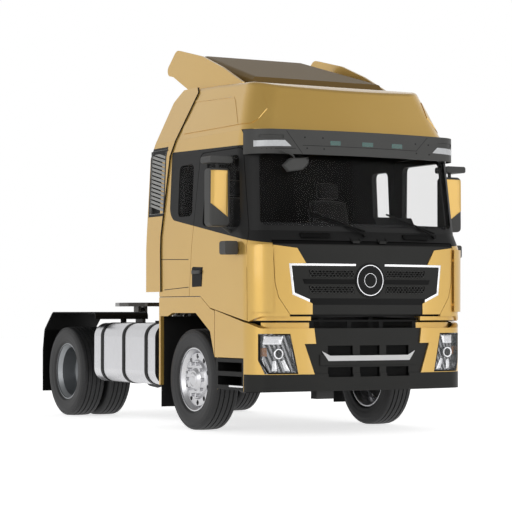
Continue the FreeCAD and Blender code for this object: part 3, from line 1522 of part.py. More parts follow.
for index in range(int(d.louvre_slats)):
    low = d.louvre_low + d.louvre_slat_gap + slat_pitch * index
    high = low + slat_pitch - d.louvre_slat_gap
    slats.append(side_slab(
        [(d.louvre_front - d.panel_gap, low),
         (d.louvre_rear + d.panel_gap, low + d.louvre_slat_rise),
         (d.louvre_rear + d.panel_gap, high + d.louvre_slat_rise),
         (d.louvre_front - d.panel_gap, high)], 0, *fairing_span))
slats = slat_layer.common(Part.makeCompound(slats))
keep("side_fairings", both_sides(fairing.multiFuse(slats.Solids)))

# Corner air deflectors, standing off the cab's corners
deflector_layer = cab_skin(-d.deflector_stand, d.deflector_wall - d.deflector_stand)
deflector_form = front_slab([
    (d.flap_half_high + d.deflector_wall, d.deflector_low),
    (wide + d.overrun, d.deflector_low),
    (wide + d.overrun, d.deflector_top),
    (d.flap_half_high + d.deflector_wall, d.deflector_top)], 0,
    along(-d.overrun), along(d.door_front_station - d.overrun))
deflector = deflector_layer.common(deflector_form)
foot_layer = cab_skin(d.deflector_wall / 2 - d.deflector_stand, 0)
for height in (d.deflector_low + d.overrun, d.deflector_top - d.overrun * 2):
    deflector = deflector.fuse(foot_layer.common(deflector_form).common(
        box(0, wide, along(-d.overrun), along(d.door_front_station),
            height, height + d.deflector_wall * 2)))
keep("air_deflectors", both_sides(deflector))


# Wipers at the screen's lower edge
def on_screen(x, height, stand):
    """A point that stands off the front's face at a height."""
    if height < d.sill_height:
        setback = d.sill_setback * (height - d.crease_height) / (d.sill_height - d.crease_height)
    else:
        setback = d.sill_setback + ((d.header_setback - d.sill_setback)
                                    * (height - d.sill_height) / (d.header_height - d.sill_height))
    return (x, along(setback + x * x / d.front_bow_radius / 2 - stand), height)


wipers = []
for pivot_x in (-d.wiper_pivot_x, d.wiper_spacing - d.wiper_pivot_x):
    tip = (pivot_x - d.wiper_reach, d.wiper_pivot_height + d.wiper_rise)
    middle = (pivot_x - d.wiper_elbow_reach, d.wiper_pivot_height + d.wiper_elbow_rise)
    heel = (tip[0] + d.wiper_blade_reach, tip[1] - d.wiper_blade_fall)
    arm = rod(on_screen(pivot_x, d.wiper_pivot_height, d.wiper_stand),
              on_screen(*middle, d.wiper_stand), d.wiper_arm_radius)
    blade = rod(on_screen(*tip, d.wiper_stand), on_screen(*heel, d.wiper_stand),
                d.wiper_arm_radius)
    boss = rod(on_screen(pivot_x, d.wiper_pivot_height, d.wiper_stand + d.wiper_arm_radius),
               on_screen(pivot_x, d.wiper_pivot_height, -d.wiper_arm_radius),
               d.wiper_arm_radius * 2)
    wipers.append(arm.multiFuse([blade, boss]).cut(cab_block(-d.seat_gap)))
keep("wipers", Part.makeCompound(wipers))

# Cab floor with the two arms that reach forward to the tilt tube
cab_inside = cab_block(d.cab_wall + d.seat_gap, d.bulkhead, d.overrun)
floor_plate = cab_inside.common(
    box(-wide, wide, along(-d.overrun), along(d.cab_rear_station),
        d.floor_height - d.floor_wall, d.floor_height))
arm_x = (d.tilt_arm_x, d.tilt_arm_x + d.tilt_arm_wall)
arm_outline = [
    (d.tilt_station, d.tilt_height - d.tilt_arm_half),
    (d.tilt_arm_station + d.tilt_arm_half, d.tilt_height - d.tilt_arm_half),
    (d.tilt_arm_station + d.tilt_arm_half, d.floor_height - d.floor_wall / 2),
    (d.tilt_arm_station - d.tilt_arm_half, d.floor_height - d.floor_wall / 2),
    (d.tilt_arm_station - d.tilt_arm_half, d.tilt_height + d.tilt_arm_half * 2),
    (d.tilt_station, d.tilt_height + d.tilt_arm_half)]
tilt_arm = side_slab(arm_outline, 0, *arm_x).fuse(
    rod((arm_x[0], tilt_y, d.tilt_height), (arm_x[1], tilt_y, d.tilt_height), d.tilt_arm_half))
tilt_arm = tilt_arm.cut(rod((arm_x[0] - d.overrun, tilt_y, d.tilt_height),
                            (arm_x[1] + d.overrun, tilt_y, d.tilt_height),
                            d.tilt_pin_radius + d.kingpin_clearance))
keep("cab_floor", floor_plate.multiFuse([tilt_arm, mirrored(tilt_arm)]))

# Dashboard across the cab with a hood over the driver's dials
dash_face = d.dash_station - d.dash_inset
dash_outline = [
    (d.bulkhead, d.dash_low), (dash_face, d.dash_low),
    (d.dash_station, d.dash_low + d.dash_shelf), (d.dash_station, d.dash_top - d.dash_shelf),
    (dash_face, d.dash_top), (d.bulkhead, d.dash_top)]
dash_half = half_width - d.cab_wall - d.dash_side_gap
dash = side_slab(dash_outline, [0, d.dash_round, d.dash_round, d.dash_round, d.dash_round, 0],
                 -dash_half, dash_half)
dial_hood = side_slab(
    [(dash_face - d.dash_inset * 2, d.dash_top - d.dash_round),
     (dash_face - d.dash_inset, d.dash_top + d.binnacle_rise),
     (d.dash_station + d.dash_round, d.dash_top + d.binnacle_brow),
     (d.dash_station - d.dash_round, d.dash_top - d.dash_shelf),
     (dash_face - d.dash_inset * 2, d.dash_top - d.dash_shelf)],
    [0, d.dash_round, d.dash_round / 2, 0, 0],
    d.driver_x - d.binnacle_half, d.driver_x + d.binnacle_half)
keep("dashboard", dash.common(cab_inside).fuse(dial_hood))

# Steering wheel on the left, on a column out of the dashboard
lean = math.radians(d.wheel_tilt)
wheel_centre = Vector(d.driver_x, along(d.dash_station + d.wheel_radius), d.dash_top - d.overrun)
wheel_axis = Vector(0, math.sin(lean), math.cos(lean))
wheel_across = Vector(1, 0, 0)
wheel_up = wheel_axis.cross(wheel_across)
column_reach = (d.wheel_radius - d.column_radius * math.cos(lean) - d.seat_gap) / math.sin(lean)
GRIP_SIDES = 8
grip_points = []
for index in range(GRIP_SIDES):
    turn = 2 * math.pi * index / GRIP_SIDES
    grip_points.append(wheel_centre
                       + wheel_across * float(d.wheel_radius + d.wheel_grip * math.cos(turn))
                       + wheel_axis * float(d.wheel_grip * math.sin(turn)))
grip = Part.Face(rounded(grip_points)).revolve(wheel_centre, wheel_axis, 360)
wheel_hub = Part.makeCylinder(d.wheel_hub_radius, d.wheel_grip * 2,
                              wheel_centre - wheel_axis * float(d.wheel_grip), wheel_axis)
column = Part.makeCylinder(d.column_radius, column_reach,
                           wheel_centre - wheel_axis * float(column_reach), wheel_axis)
spokes = []
for direction in (wheel_across, -wheel_across, -wheel_up):
    side = wheel_axis.cross(direction) * float(d.wheel_grip)
    foot = wheel_centre - wheel_axis * float(d.wheel_grip / 4)
    reach = direction * float(d.wheel_radius)
    flat = Part.Face(rounded([foot - side, foot - side + reach, foot + side + reach, foot + side]))
    spokes.append(flat.extrude(wheel_axis * float(d.wheel_grip / 2)))
keep("steering_wheel", grip.multiFuse([wheel_hub, column] + spokes))

# Seats on tapered stands, each with a cushion and a back that leans to the rear
seat_rear = d.seat_station + d.seat_depth
cushion_low = d.seat_height - d.cushion
cushion_outline = [(d.seat_station, cushion_low), (d.seat_station, d.seat_height),
                   (seat_rear + d.cushion, d.seat_height), (seat_rear + d.cushion, cushion_low)]
back_outline = [
    (seat_rear, cushion_low + d.seat_round / 2), (seat_rear + d.back_lean,
                                                   d.seat_height + d.back_height),
    (seat_rear + d.back_lean + d.cushion, d.seat_height + d.back_height),
    (seat_rear + d.cushion, cushion_low + d.seat_round / 2)]
stand_outline = [
    (d.seat_station + d.stand_bevel, d.floor_height + d.seat_gap),
    (d.seat_station + d.stand_bevel * 2, cushion_low + d.seat_round),
    (seat_rear - d.stand_bevel, cushion_low + d.seat_round),
    (seat_rear, d.floor_height + d.seat_gap)]
seat_x = (d.driver_x - d.seat_width / 2, d.driver_x + d.seat_width / 2)
stand_x = (d.driver_x - d.seat_width / 4, d.driver_x + d.seat_width / 4)
seat = side_slab(cushion_outline, d.seat_round, *seat_x).multiFuse([
    side_slab(back_outline, [0, d.seat_round, d.seat_round, 0], *seat_x),
    side_slab(stand_outline, 0, *stand_x)])
keep("seats", both_sides(seat))

# Bunk across the rear of the cab, on a locker
bunk = box(-wide, wide, along(d.bunk_front_station), along(d.cab_rear_station),
           d.bunk_height - d.bunk_thickness, d.bunk_height)
locker = box(-wide, wide, along(d.bunk_front_station + d.cushion / 2), along(d.cab_rear_station),
             d.floor_height + d.seat_gap, d.bunk_height - d.bunk_thickness)
keep("bunk", bunk.fuse(locker).common(cab_inside))

# Mirrors on the doors: a tall housing, a wide one on its top and a small one lower down
housing = front_slab(
    [(d.mirror_inner, d.mirror_low), (d.mirror_outer, d.mirror_low),
     (d.mirror_outer, d.mirror_top), (d.mirror_inner, d.mirror_top)], d.mirror_round,
    along(d.mirror_station - d.mirror_depth / 2), along(d.mirror_station + d.mirror_depth / 2))
front_rim = [edge for edge in housing.Edges
             if edge.BoundBox.YMax < along(d.mirror_station - d.mirror_depth / 4)]
housing = housing.makeFillet(float(d.mirror_edge_round), front_rim)
kerb_top = d.kerb_mirror_low + d.kerb_mirror_height
kerb_mirror = front_slab(
    [(d.mirror_inner, d.kerb_mirror_low), (d.kerb_mirror_outer, d.kerb_mirror_low),
     (d.kerb_mirror_outer, kerb_top), (d.mirror_inner, kerb_top)], d.kerb_mirror_height / 3,
    along(d.mirror_station - d.kerb_mirror_depth / 2),
    along(d.mirror_station + d.kerb_mirror_depth / 2))
corner_mirror = front_slab(
    [(d.corner_mirror_inner, d.corner_mirror_low), (d.corner_mirror_outer, d.corner_mirror_low),
     (d.corner_mirror_outer, d.corner_mirror_top),
     (d.corner_mirror_inner, d.corner_mirror_top)], d.mirror_round / 2,
    along(d.corner_mirror_station), along(d.corner_mirror_station + d.corner_mirror_depth))
mirror_y = along(d.mirror_station)
mirror_x = (d.mirror_inner + d.mirror_outer) / 2
corner_y = along(d.corner_mirror_station + d.corner_mirror_depth / 2)
corner_z = (d.corner_mirror_low + d.corner_mirror_top) / 2
kerb_z = d.kerb_mirror_low + d.kerb_mirror_height / 2
arms = [
    rod((half_width - d.cab_wall, mirror_y, kerb_z), (mirror_x, mirror_y, kerb_z),
        d.mirror_arm_radius),
    rod((mirror_x, mirror_y, d.mirror_top - d.mirror_round),
        (mirror_x, mirror_y, kerb_z), d.mirror_arm_radius),
    rod((half_width - d.cab_wall, mirror_y, d.corner_mirror_top + d.overrun),
        (mirror_x, mirror_y, d.mirror_low + d.mirror_round), d.mirror_arm_radius),
    rod((half_width - d.cab_wall, corner_y, corner_z),
        (d.corner_mirror_inner + d.mirror_round, corner_y, corner_z), d.mirror_arm_radius),
]
mirror = housing.multiFuse([kerb_mirror, corner_mirror] + arms).cut(cab_block(-d.seat_gap))
keep("mirror_left", mirror)
keep("mirror_right", mirrored(mirror))

# Steering knuckles: two ears on the kingpin and a spindle for the wheel
eye_low, eye_high = d.tyre_radius - d.kingpin_eye_half, d.tyre_radius + d.kingpin_eye_half
knuckle_low, knuckle_high = eye_low - d.knuckle_ear, eye_high + d.knuckle_ear
knuckle_x = d.kingpin_x + d.kingpin_boss
arch_x = knuckle_x + d.knuckle_ear / 2
knuckle_front, knuckle_rear = front_y - d.kingpin_boss, front_y + d.kingpin_boss
kingpin = rod((d.kingpin_x, front_y, knuckle_low), (d.kingpin_x, front_y, knuckle_high),
              d.kingpin_radius)
pieces = []
for low, high in ((knuckle_low, eye_low - d.knuckle_gap), (eye_high + d.knuckle_gap, knuckle_high)):
    pieces.append(rod((d.kingpin_x, front_y, low), (d.kingpin_x, front_y, high), d.kingpin_boss))
    pieces.append(box(d.kingpin_x, arch_x, knuckle_front, knuckle_rear, low, high))
pieces.append(box(knuckle_x + d.spindle_clearance, arch_x, knuckle_front, knuckle_rear,
                  knuckle_low, knuckle_high))
pieces.append(rod((knuckle_x + d.spindle_clearance, front_y, d.tyre_radius),
                  (d.front_wheel_x + d.tyre_width / 4, front_y, d.tyre_radius),
                  d.spindle_radius))
knuckle = kingpin.multiFuse(pieces)
keep("knuckle_left", knuckle)
keep("knuckle_right", mirrored(knuckle))


# Wheels. Each outline lies in the upper half plane: distance across the wheel, then radius.
def tyre_outline(centre):
    """A tyre's section with a crowned tread, sloping shoulders and bulged side walls."""
    half = d.tyre_width / 2
    bead_half = d.rim_width / 2
    right = [
        (bead_half, d.bead_radius),
        (half, d.bead_radius + d.tyre_shoulder * 2),
        (half, d.tyre_radius - d.tyre_shoulder * 2),
        (half - d.tyre_shoulder / 2, d.tyre_radius - d.tyre_shoulder / 2),
        (half - d.tyre_shoulder, d.tyre_radius),
    ]
    return ([(centre - x, radius) for x, radius in right]
            + [(centre + x, radius) for x, radius in right[::-1]])


def rim_edge(side, centre):
    """The outer corner of a rim's barrel on one side, from the tyre's bead inwards."""
    edge = centre + side * d.rim_width / 2
    bead = d.bead_radius - d.seat_gap
    return [(edge, bead), (edge, bead - d.rim_wall),
            (edge - side * d.rim_wall, bead - d.rim_wall),
            (centre + side * d.rim_width / 4, well_radius)]


well_radius = d.bead_radius - d.rim_well_depth
bore_radius = d.spindle_radius + d.spindle_clearance
ring_outer = d.hand_hole_circle + d.hand_hole_radius + d.disc_wall / 2
ring_inner = d.hand_hole_circle - d.hand_hole_radius - d.disc_wall / 2
face_radius = ring_inner - d.disc_wall
spindle_end = d.tyre_width / 4
front_disc = d.tyre_width / 8
front_ring = front_disc + d.rim_well_depth / 2
front_face = front_disc + d.rim_well_depth
end_room = d.spindle_clearance * 5
front_rim_outline = (
    rim_edge(1, 0) + [
        (front_disc + d.disc_wall, well_radius),
        (front_ring + d.disc_wall, ring_outer),
        (front_ring + d.disc_wall, ring_inner),
        (front_face + d.disc_wall, face_radius),
        (front_face + d.disc_wall, d.hub_radius),
        (front_face + d.disc_wall * 3, d.hub_cap_radius),
        (front_face + d.disc_wall * 3, 0),
        (spindle_end + end_room, 0),
        (spindle_end + end_room, bore_radius),
        (front_disc / 2, bore_radius),
        (front_disc / 2, d.hub_radius),
        (front_face, d.hub_radius),
        (front_face, face_radius),
        (front_ring, ring_inner),
        (front_ring, ring_outer),
        (front_disc, well_radius)]
    + rim_edge(-1, 0)[::-1])

inner_wheel = -d.dual_spacing
middle = inner_wheel / 2
rear_disc = middle + d.rim_well_depth
rear_ring = middle + d.rim_well_depth / 2
inner_edge = inner_wheel + d.rim_width / 2
rear_rim_outline = (
    rim_edge(1, 0) + [
        (rear_disc + d.disc_wall, well_radius),
        (rear_ring + d.disc_wall, ring_outer),
        (rear_ring + d.disc_wall, ring_inner),
        (middle + d.disc_wall, face_radius),
        (middle + d.disc_wall, d.hub_radius + d.disc_wall),
        (middle + d.rim_width / 3, d.hub_radius),
        (middle + d.rim_width / 2, d.hub_cap_radius),
        (middle + d.rim_width / 2, 0),
        (middle + end_room, 0),
        (middle + end_room, bore_radius),
        (middle - d.drum_width, bore_radius),
        (middle - d.drum_width, d.drum_radius),
        (middle, d.drum_radius),
        (rear_ring, ring_inner),
        (rear_ring, ring_outer),
        (rear_disc, well_radius)]
    + rim_edge(-1, inner_wheel)[::-1]
    + [(inner_edge, d.bead_radius - d.seat_gap), (inner_edge, well_radius + d.rim_wall),
       (-d.rim_width / 2, well_radius + d.rim_wall),
       (-d.rim_width / 2, d.bead_radius - d.seat_gap)])


def wheel(name, outlines, sign):
    """A turned wheel piece. The right-hand one has its outline reversed left to right."""
    made = body(name)
    for index, outline in enumerate(outlines):
        points = [(sign * x, radius) for x, radius in outline]
        turned(made, sketch(made, "XY_Plane", points, f"Outline{index}"), name=f"Turn{index}")
    return made


HAND_HOLES = 10
FULL_TURN = 360


def hand_holes(owner, depth):
    """Round holes through the disc, spaced evenly about the hub."""
    drawn = owner.newObject("Sketcher::SketchObject", "HandHole")
    drawn.AttachmentSupport = [(plane_of(owner, "YZ_Plane"), "")]
    drawn.MapMode = "FlatFace"
    drawn.addGeometry(Part.Circle(Vector(0, float(d.hand_hole_circle), 0), Vector(0, 0, 1),
                                  float(d.hand_hole_radius)))
    drawn.addConstraint(Sketcher.Constraint("PointOnObject", 0, 3, -2))
    for kind, value in (("Distance", d.hand_hole_circle), ("Radius", d.hand_hole_radius)):
        first = (-1, 1, 0, 3) if kind == "Distance" else (0,)
        held = drawn.addConstraint(Sketcher.Constraint(kind, *first, float(value)))
        drawn.setExpression(f"Constraints[{held}]", value.text)
    cut = owner.newObject("PartDesign::Pocket", "HandHoleCut")
    cut.Profile = drawn
    cut.Midplane = True
    cut.setExpression("Length", Size.written(depth))
    doc.recompute()
    ring = owner.newObject("PartDesign::PolarPattern", "HandHoleRing")
    ring.Originals = [cut]
    ring.Axis = (plane_of(owner, "X_Axis"), [""])
    ring.Angle = FULL_TURN
    ring.Occurrences = HAND_HOLES
    owner.Tip = ring
    doc.recompute()


for side, sign in (("left", 1), ("right", -1)):
    front_place = {"x": sign * d.front_wheel_x, "y": along(d.front_axle_station),
                   "z": d.tyre_radius}
    rear_place = {"x": sign * d.rear_wheel_x, "y": along(rear_axle_station), "z": d.tyre_radius}
    place(wheel(f"tyre_front_{side}", [tyre_outline(0)], sign), **front_place)
    front_rim = wheel(f"rim_front_{side}", [front_rim_outline], sign)
    hand_holes(front_rim, d.tyre_width)
    place(front_rim, **front_place)
    place(wheel(f"tyres_rear_{side}", [tyre_outline(0), tyre_outline(inner_wheel)], sign),
          **rear_place)
    rear_rim = wheel(f"rims_rear_{side}", [rear_rim_outline], sign)
    hand_holes(rear_rim, d.dual_spacing)
    place(rear_rim, **rear_place)

doc.recompute()

for item in doc.Objects:
    if "Invalid" in item.State or "Error" in item.State:
        raise RuntimeError(f"{item.Name} failed: {item.State}")
for name, item in nodes.items():
    if item.Shape.isNull() or not item.Shape.isValid() or not item.Shape.Solids:
        raise RuntimeError(f"{name} has no valid shape")

os.makedirs("parts", exist_ok=True)
for name, item in nodes.items():
    item.Shape.exportStep(f"parts/{name}.step")
    bounds = item.Shape.optimalBoundingBox(False)
    print(f"{name}: {len(item.Shape.Solids)} solids, {item.Shape.Volume / 1e9:.4f} m3, "
          f"x {bounds.XMin:.0f}..{bounds.XMax:.0f}, y {bounds.YMin:.0f}..{bounds.YMax:.0f}, "
          f"z {bounds.ZMin:.0f}..{bounds.ZMax:.0f}")
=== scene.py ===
import math
import bmesh
import bpy
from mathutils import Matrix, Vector
from mathutils.bvhtree import BVHTree


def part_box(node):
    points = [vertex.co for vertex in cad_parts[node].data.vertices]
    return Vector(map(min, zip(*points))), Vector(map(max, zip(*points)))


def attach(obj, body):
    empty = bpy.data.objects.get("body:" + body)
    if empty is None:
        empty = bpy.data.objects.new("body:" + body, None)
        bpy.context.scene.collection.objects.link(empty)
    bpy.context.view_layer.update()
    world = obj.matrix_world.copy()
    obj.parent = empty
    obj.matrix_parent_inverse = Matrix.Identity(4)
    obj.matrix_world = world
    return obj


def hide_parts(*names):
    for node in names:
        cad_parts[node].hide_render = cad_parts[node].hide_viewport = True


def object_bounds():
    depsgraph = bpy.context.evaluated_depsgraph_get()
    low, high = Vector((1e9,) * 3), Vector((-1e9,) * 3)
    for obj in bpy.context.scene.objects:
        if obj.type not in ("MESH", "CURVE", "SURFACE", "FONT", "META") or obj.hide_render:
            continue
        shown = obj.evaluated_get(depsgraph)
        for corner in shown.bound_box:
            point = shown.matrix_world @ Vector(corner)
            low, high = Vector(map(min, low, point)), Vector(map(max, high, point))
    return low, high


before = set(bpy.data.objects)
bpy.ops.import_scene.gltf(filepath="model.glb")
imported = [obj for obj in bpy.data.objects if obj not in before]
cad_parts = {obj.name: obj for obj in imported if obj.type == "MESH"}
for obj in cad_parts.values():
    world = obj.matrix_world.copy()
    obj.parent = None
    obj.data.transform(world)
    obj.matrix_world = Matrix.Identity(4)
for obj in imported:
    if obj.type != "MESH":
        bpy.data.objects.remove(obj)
cad_low, cad_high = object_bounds()

# The viewpoint: a long lens at chest height, off the tractor's front right-hand corner,
# with the nearer side and the front both in view.
EYE = (-10.095, -18.495, 1.209)
EYE_TURN = 0.50847
EYE_PITCH = 0.02945
EYE_LENS = 133.56
camera_data = bpy.data.cameras.new("camera")
camera_data.lens = EYE_LENS
camera_data.sensor_width = 36
camera_data.clip_end = 200
camera = bpy.data.objects.new("camera", camera_data)
camera.location = EYE
camera.rotation_euler = (math.pi / 2 + EYE_PITCH, 0, -EYE_TURN)
bpy.context.scene.collection.objects.link(camera)
bpy.context.scene.camera = camera
bpy.context.scene.view_settings.view_transform = "Standard"


# Studio: a pale floor that keeps the vehicle's shadow, soft lamps above and to the sides,
# and a white surround that gloss and glass also show.
class Field:
    """A number, colour or shape in a node tree: one output of one node."""

    def __init__(self, tree, socket=None):
        self.tree, self.socket = tree, socket

    def node(self, kind, inputs=None, output=0, **settings):
        made = self.tree.nodes.new(kind)
        for key, value in settings.items():
            setattr(made, key, value)
        for key, value in (inputs or {}).items():
            if isinstance(value, Field):
                self.tree.links.new(value.socket, made.inputs[key])
            else:
                made.inputs[key].default_value = value
        return Field(self.tree, made.outputs[output])

    def math(self, operation, *others):
        return self.node("ShaderNodeMath", dict(enumerate((self, *others))), operation=operation)

    def __add__(self, other):
        return self.math("ADD", other)

    __radd__ = __add__

    def __sub__(self, other):
        return self.math("SUBTRACT", other)

    def __rsub__(self, other):
        return self.node("ShaderNodeMath", {0: other, 1: self}, operation="SUBTRACT")

    def __mul__(self, other):
        return self.math("MULTIPLY", other)

    __rmul__ = __mul__

    def __truediv__(self, other):
        return self.math("DIVIDE", other)

    def __abs__(self):
        return self.math("ABSOLUTE")

    def __gt__(self, other):
        return self.math("GREATER_THAN", other)

    def __lt__(self, other):
        return self.math("LESS_THAN", other)

    def least(self, other):
        return self.math("MINIMUM", other)

    def most(self, other):
        return self.math("MAXIMUM", other)

    def reach(self, other):
        """The straight distance of two runs that are square to each other."""
        return (self * self + other * other).math("SQRT")

    def wave(self, pitch):
        """Rises and falls between 0 and 1 once in each pitch."""
        return (self * (math.tau / pitch)).math("SINE") * 0.5 + 0.5

    def mix(self, first, second):
        """The first colour where this is 0, the second where it is 1."""
        return self.node("ShaderNodeMix", {0: self, 6: first, 7: second}, 2, data_type="RGBA")

    def axis(self, name):
        return self.node("ShaderNodeSeparateXYZ", {0: self}, "XYZ".index(name))

    def noise(self, scale, detail=2):
        return self.node("ShaderNodeTexNoise", {"Vector": self, "Scale": scale, "Detail": detail})

    def bump(self, strength, distance):
        return self.node("ShaderNodeBump", {"Height": self, "Strength": strength,
                                            "Distance": distance})


def own_place(tree):
    return Field(tree).node("ShaderNodeTexCoord", output="Object")


def started(name):
    """A new material: its shader node and the object's own coordinates."""
    material = bpy.data.materials.new(name)
    material.use_nodes = True
    tree = material.node_tree
    return material, tree.nodes["Principled BSDF"], own_place(tree)


def set_inputs(shader, **values):
    """Sets the shader's sockets: a plain value, or a link where the value varies."""
    for key, value in values.items():
        socket = shader.inputs[key.replace("_", " ")]
        if isinstance(value, Field):
            value.tree.links.new(value.socket, socket)
        else:
            socket.default_value = value


def direct_view(tree):
    """1 for what is seen straight on, in a gloss or through glass, and 0 for light's own path."""
    rays = tree.nodes.new("ShaderNodeLightPath")
    camera_ray, glossy_ray, glass_ray = (
        Field(tree, rays.outputs[f"Is {kind} Ray"]) for kind in ("Camera", "Glossy", "Transmission"))
    return (camera_ray + glossy_ray + glass_ray).least(1)


def placed(name, data):
    """An object in the scene that holds a mesh, a lamp or a curve."""
    made = bpy.data.objects.new(name, data)
    bpy.context.scene.collection.objects.link(made)
    return made


FLOOR_HALF = 60
FLOOR_GLOW = 0.70
floor_mesh = bpy.data.meshes.new("floor")
floor_mesh.from_pydata([(-FLOOR_HALF, -FLOOR_HALF, 0), (FLOOR_HALF, -FLOOR_HALF, 0),
                        (FLOOR_HALF, FLOOR_HALF, 0), (-FLOOR_HALF, FLOOR_HALF, 0)],
                       [], [(0, 1, 2, 3)])
floor = placed("floor", floor_mesh)
floor_paint, floor_shader, _ = started("pale_floor")
set_inputs(floor_shader, Base_Color=(0.93, 0.93, 0.93, 1), Roughness=0.9, Emission_Strength=1,
           Emission_Color=direct_view(floor_paint.node_tree).mix(
               (0, 0, 0, 1), (FLOOR_GLOW, FLOOR_GLOW, FLOOR_GLOW, 1)))
floor_mesh.materials.append(floor_paint)

SURROUND, SURROUND_IN_GLOSS = 0.62, 0.32
CEILING_START, CEILING_FALL, CEILING_DARK = 0.42, 1.9, 0.68
world = bpy.data.worlds.new("studio")
bpy.context.scene.world = world
world.use_nodes = True
eye_rays = world.node_tree.nodes.new("ShaderNodeLightPath")
eye = Field(world.node_tree, eye_rays.outputs["Is Camera Ray"])
upward = Field(world.node_tree).node("ShaderNodeTexCoord", output="Generated").axis("Z")
ceiling = 1 - ((upward - CEILING_START) * CEILING_FALL).most(0).least(CEILING_DARK)
surround = direct_view(world.node_tree) * SURROUND_IN_GLOSS + SURROUND
strength = eye + (1 - eye) * surround * ceiling
backdrop = world.node_tree.nodes["Background"]
backdrop.inputs["Color"].default_value = (1, 1, 1, 1)
world.node_tree.links.new(strength.socket, backdrop.inputs["Strength"])

LAMP_AIM = Vector((0, 0, 1.5))
LAMPS = {
    "key": ((-13, -9, 6), 9, 420, True),
    "front_fill": ((6, -12, 4), 8, 200, True),
    "rear_fill": ((5, 13, 8), 8, 240, False),
}
for name, (spot, size, power, in_gloss) in LAMPS.items():
    lamp_data = bpy.data.lights.new(name, "AREA")
    lamp_data.size = size
    lamp_data.energy = power
    lamp = placed(name, lamp_data)
    lamp.location = spot
    lamp.visible_glossy = in_gloss
    lamp.rotation_euler = (LAMP_AIM - Vector(spot)).to_track_quat("-Z", "Y").to_euler()


# Painted panels: pressed steel and moulded skins in metallic gold under clear lacquer.
# The window band on the cab and doors is bare dark moulding, and so is all that faces in.
def colour(red, green, blue):
    """A linear colour from one as the eye sees it, on 0 to 1."""
    linear = [c / 12.92 if c <= 0.04045 else ((c + 0.055) / 1.055) ** 2.4
              for c in (red, green, blue)]
    return (*linear, 1.0)


def grey(level):
    return colour(level, level, level)


FRONT = cad_low[1]
GOLD, GOLD_DEEP = colour(0.87, 0.715, 0.39), colour(0.845, 0.68, 0.345)
TRIM, TRIM_PALE = grey(0.115), grey(0.14)
# Bronze for the middle of the roof spoiler's hood: painted shade for the dark reflection its top
# shows.
SHADE_BRONZE, SHADE_BRONZE_PALE = colour(0.45, 0.36, 0.19), colour(0.48, 0.39, 0.21)
FLAKE_SCALE, GRAIN_SCALE = 600, 240
PAINT_METAL, PAINT_LACQUER = 0.55, 0.7
BAND_LOW, BAND_RISE = 1.858, 0.162
BAND_TOP, BAND_TOP_RISE = 2.831, 0.0226
BAND_REAR, BAND_ROUND = 1.96, 0.13
VISOR_TOP, VISOR_REACH = 2.975, 0.41
CORNER_X, CORNER_ROUND = 0.975, 0.27
BOW = 5.55
LEAN_START, LEAN_SILL = 1.86, 2.0
SILL_BACK, SCREEN_LEAN = 0.085, 0.125
WALL_INNER, WALL_LEAN_START, WALL_LEAN = 1.214, 1.9, 0.045
FRONT_WALL, CAB_REAR, CAB_TOP = 0.035, 2.22, 3.3
LINER_HALF, LINER_FRONT, LINER_REAR, LINER_TOP = 1.0, 0.42, 2.2, 3.06
HOOD_HALF = 0.79
ARCH_INNER = 1.189
GUARD_INNER, GUARD_LOW = 1.2, 0.445


def across(place):
    return abs(place.axis("X"))


def station(place):
    """Distance behind the foremost plane."""
    return place.axis("Y") - FRONT


def bowed(place):
    """How far the bowed front lies back at a place."""
    return across(place) * across(place) / (2 * BOW)


def rounding(run, radius):
    """How far a round corner has drawn back, at a run past its start."""
    past = run.most(0).least(radius)
    return radius - (radius ** 2 - past * past).most(0).math("SQRT")


def window_band(place):
    """1 on the dark band from the screen back past the side windows."""
    behind, height = station(place), place.axis("Z")
    curl = rounding(behind - (BAND_REAR - BAND_ROUND), BAND_ROUND)
    low = behind * BAND_RISE + BAND_LOW + curl
    top = (behind * BAND_TOP_RISE + BAND_TOP).most((behind < VISOR_REACH) * VISOR_TOP)
    return (height > low) * (height < top) * (behind < BAND_REAR)


def inside_cab(place):
    """1 on the faces that look into the cab."""
    side, height, behind = across(place), place.axis("Z"), station(place)
    side_wall = WALL_INNER - (height - WALL_LEAN_START).most(0) * WALL_LEAN
    sill = (height - LEAN_START) * (SILL_BACK / (LEAN_SILL - LEAN_START))
    lean = sill.least((height - LEAN_SILL) * SCREEN_LEAN + SILL_BACK).most(0)
    front_wall = lean + bowed(place) + rounding(side - CORNER_X, CORNER_ROUND) + FRONT_WALL
    return (side < side_wall) * (behind > front_wall) * (behind < CAB_REAR) * (height < CAB_TOP)


def under_roof(place):
    behind = station(place)
    return ((place.axis("Z") < LINER_TOP) * (across(place) < LINER_HALF)
            * (behind > LINER_FRONT) * (behind < LINER_REAR))


def inward_of(half):
    """Takes a place to 1 where it is nearer the middle than a half width."""
    return lambda place: across(place) < half


def gold_paint(name, *dark_parts, bare_or_shade=(TRIM, TRIM_PALE)):
    """Gold paint, dark wherever one of the given fields is 1: bare dark moulding in the trim greys,
    or painted shade where bronze tones are given.
    """
    material, shader, place = started(name)
    flake = place.noise(FLAKE_SCALE, 1)
    tone, roughness = place.noise(1.3).mix(GOLD, GOLD_DEEP), flake * 0.12 + 0.26
    metal, lacquer = PAINT_METAL, PAINT_LACQUER
    if dark_parts:
        dark = dark_parts[0](place)
        for part in dark_parts[1:]:
            dark = dark.most(part(place))
        tone = dark.mix(tone, place.noise(GRAIN_SCALE).mix(*bare_or_shade))
        roughness = roughness + dark * 0.14
        metal, lacquer = (1 - dark) * PAINT_METAL, (1 - dark) * PAINT_LACQUER
    set_inputs(shader, Base_Color=tone, Metallic=metal, Roughness=roughness, Coat_Weight=lacquer,
               Normal=flake.bump(0.05, 0.0006), Coat_Roughness=0.06, Specular_IOR_Level=0.16)
    return material


def dress(material, *names):
    """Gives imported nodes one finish."""
    for name in names:
        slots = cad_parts[name].data.materials
        slots.clear()
        slots.append(material)


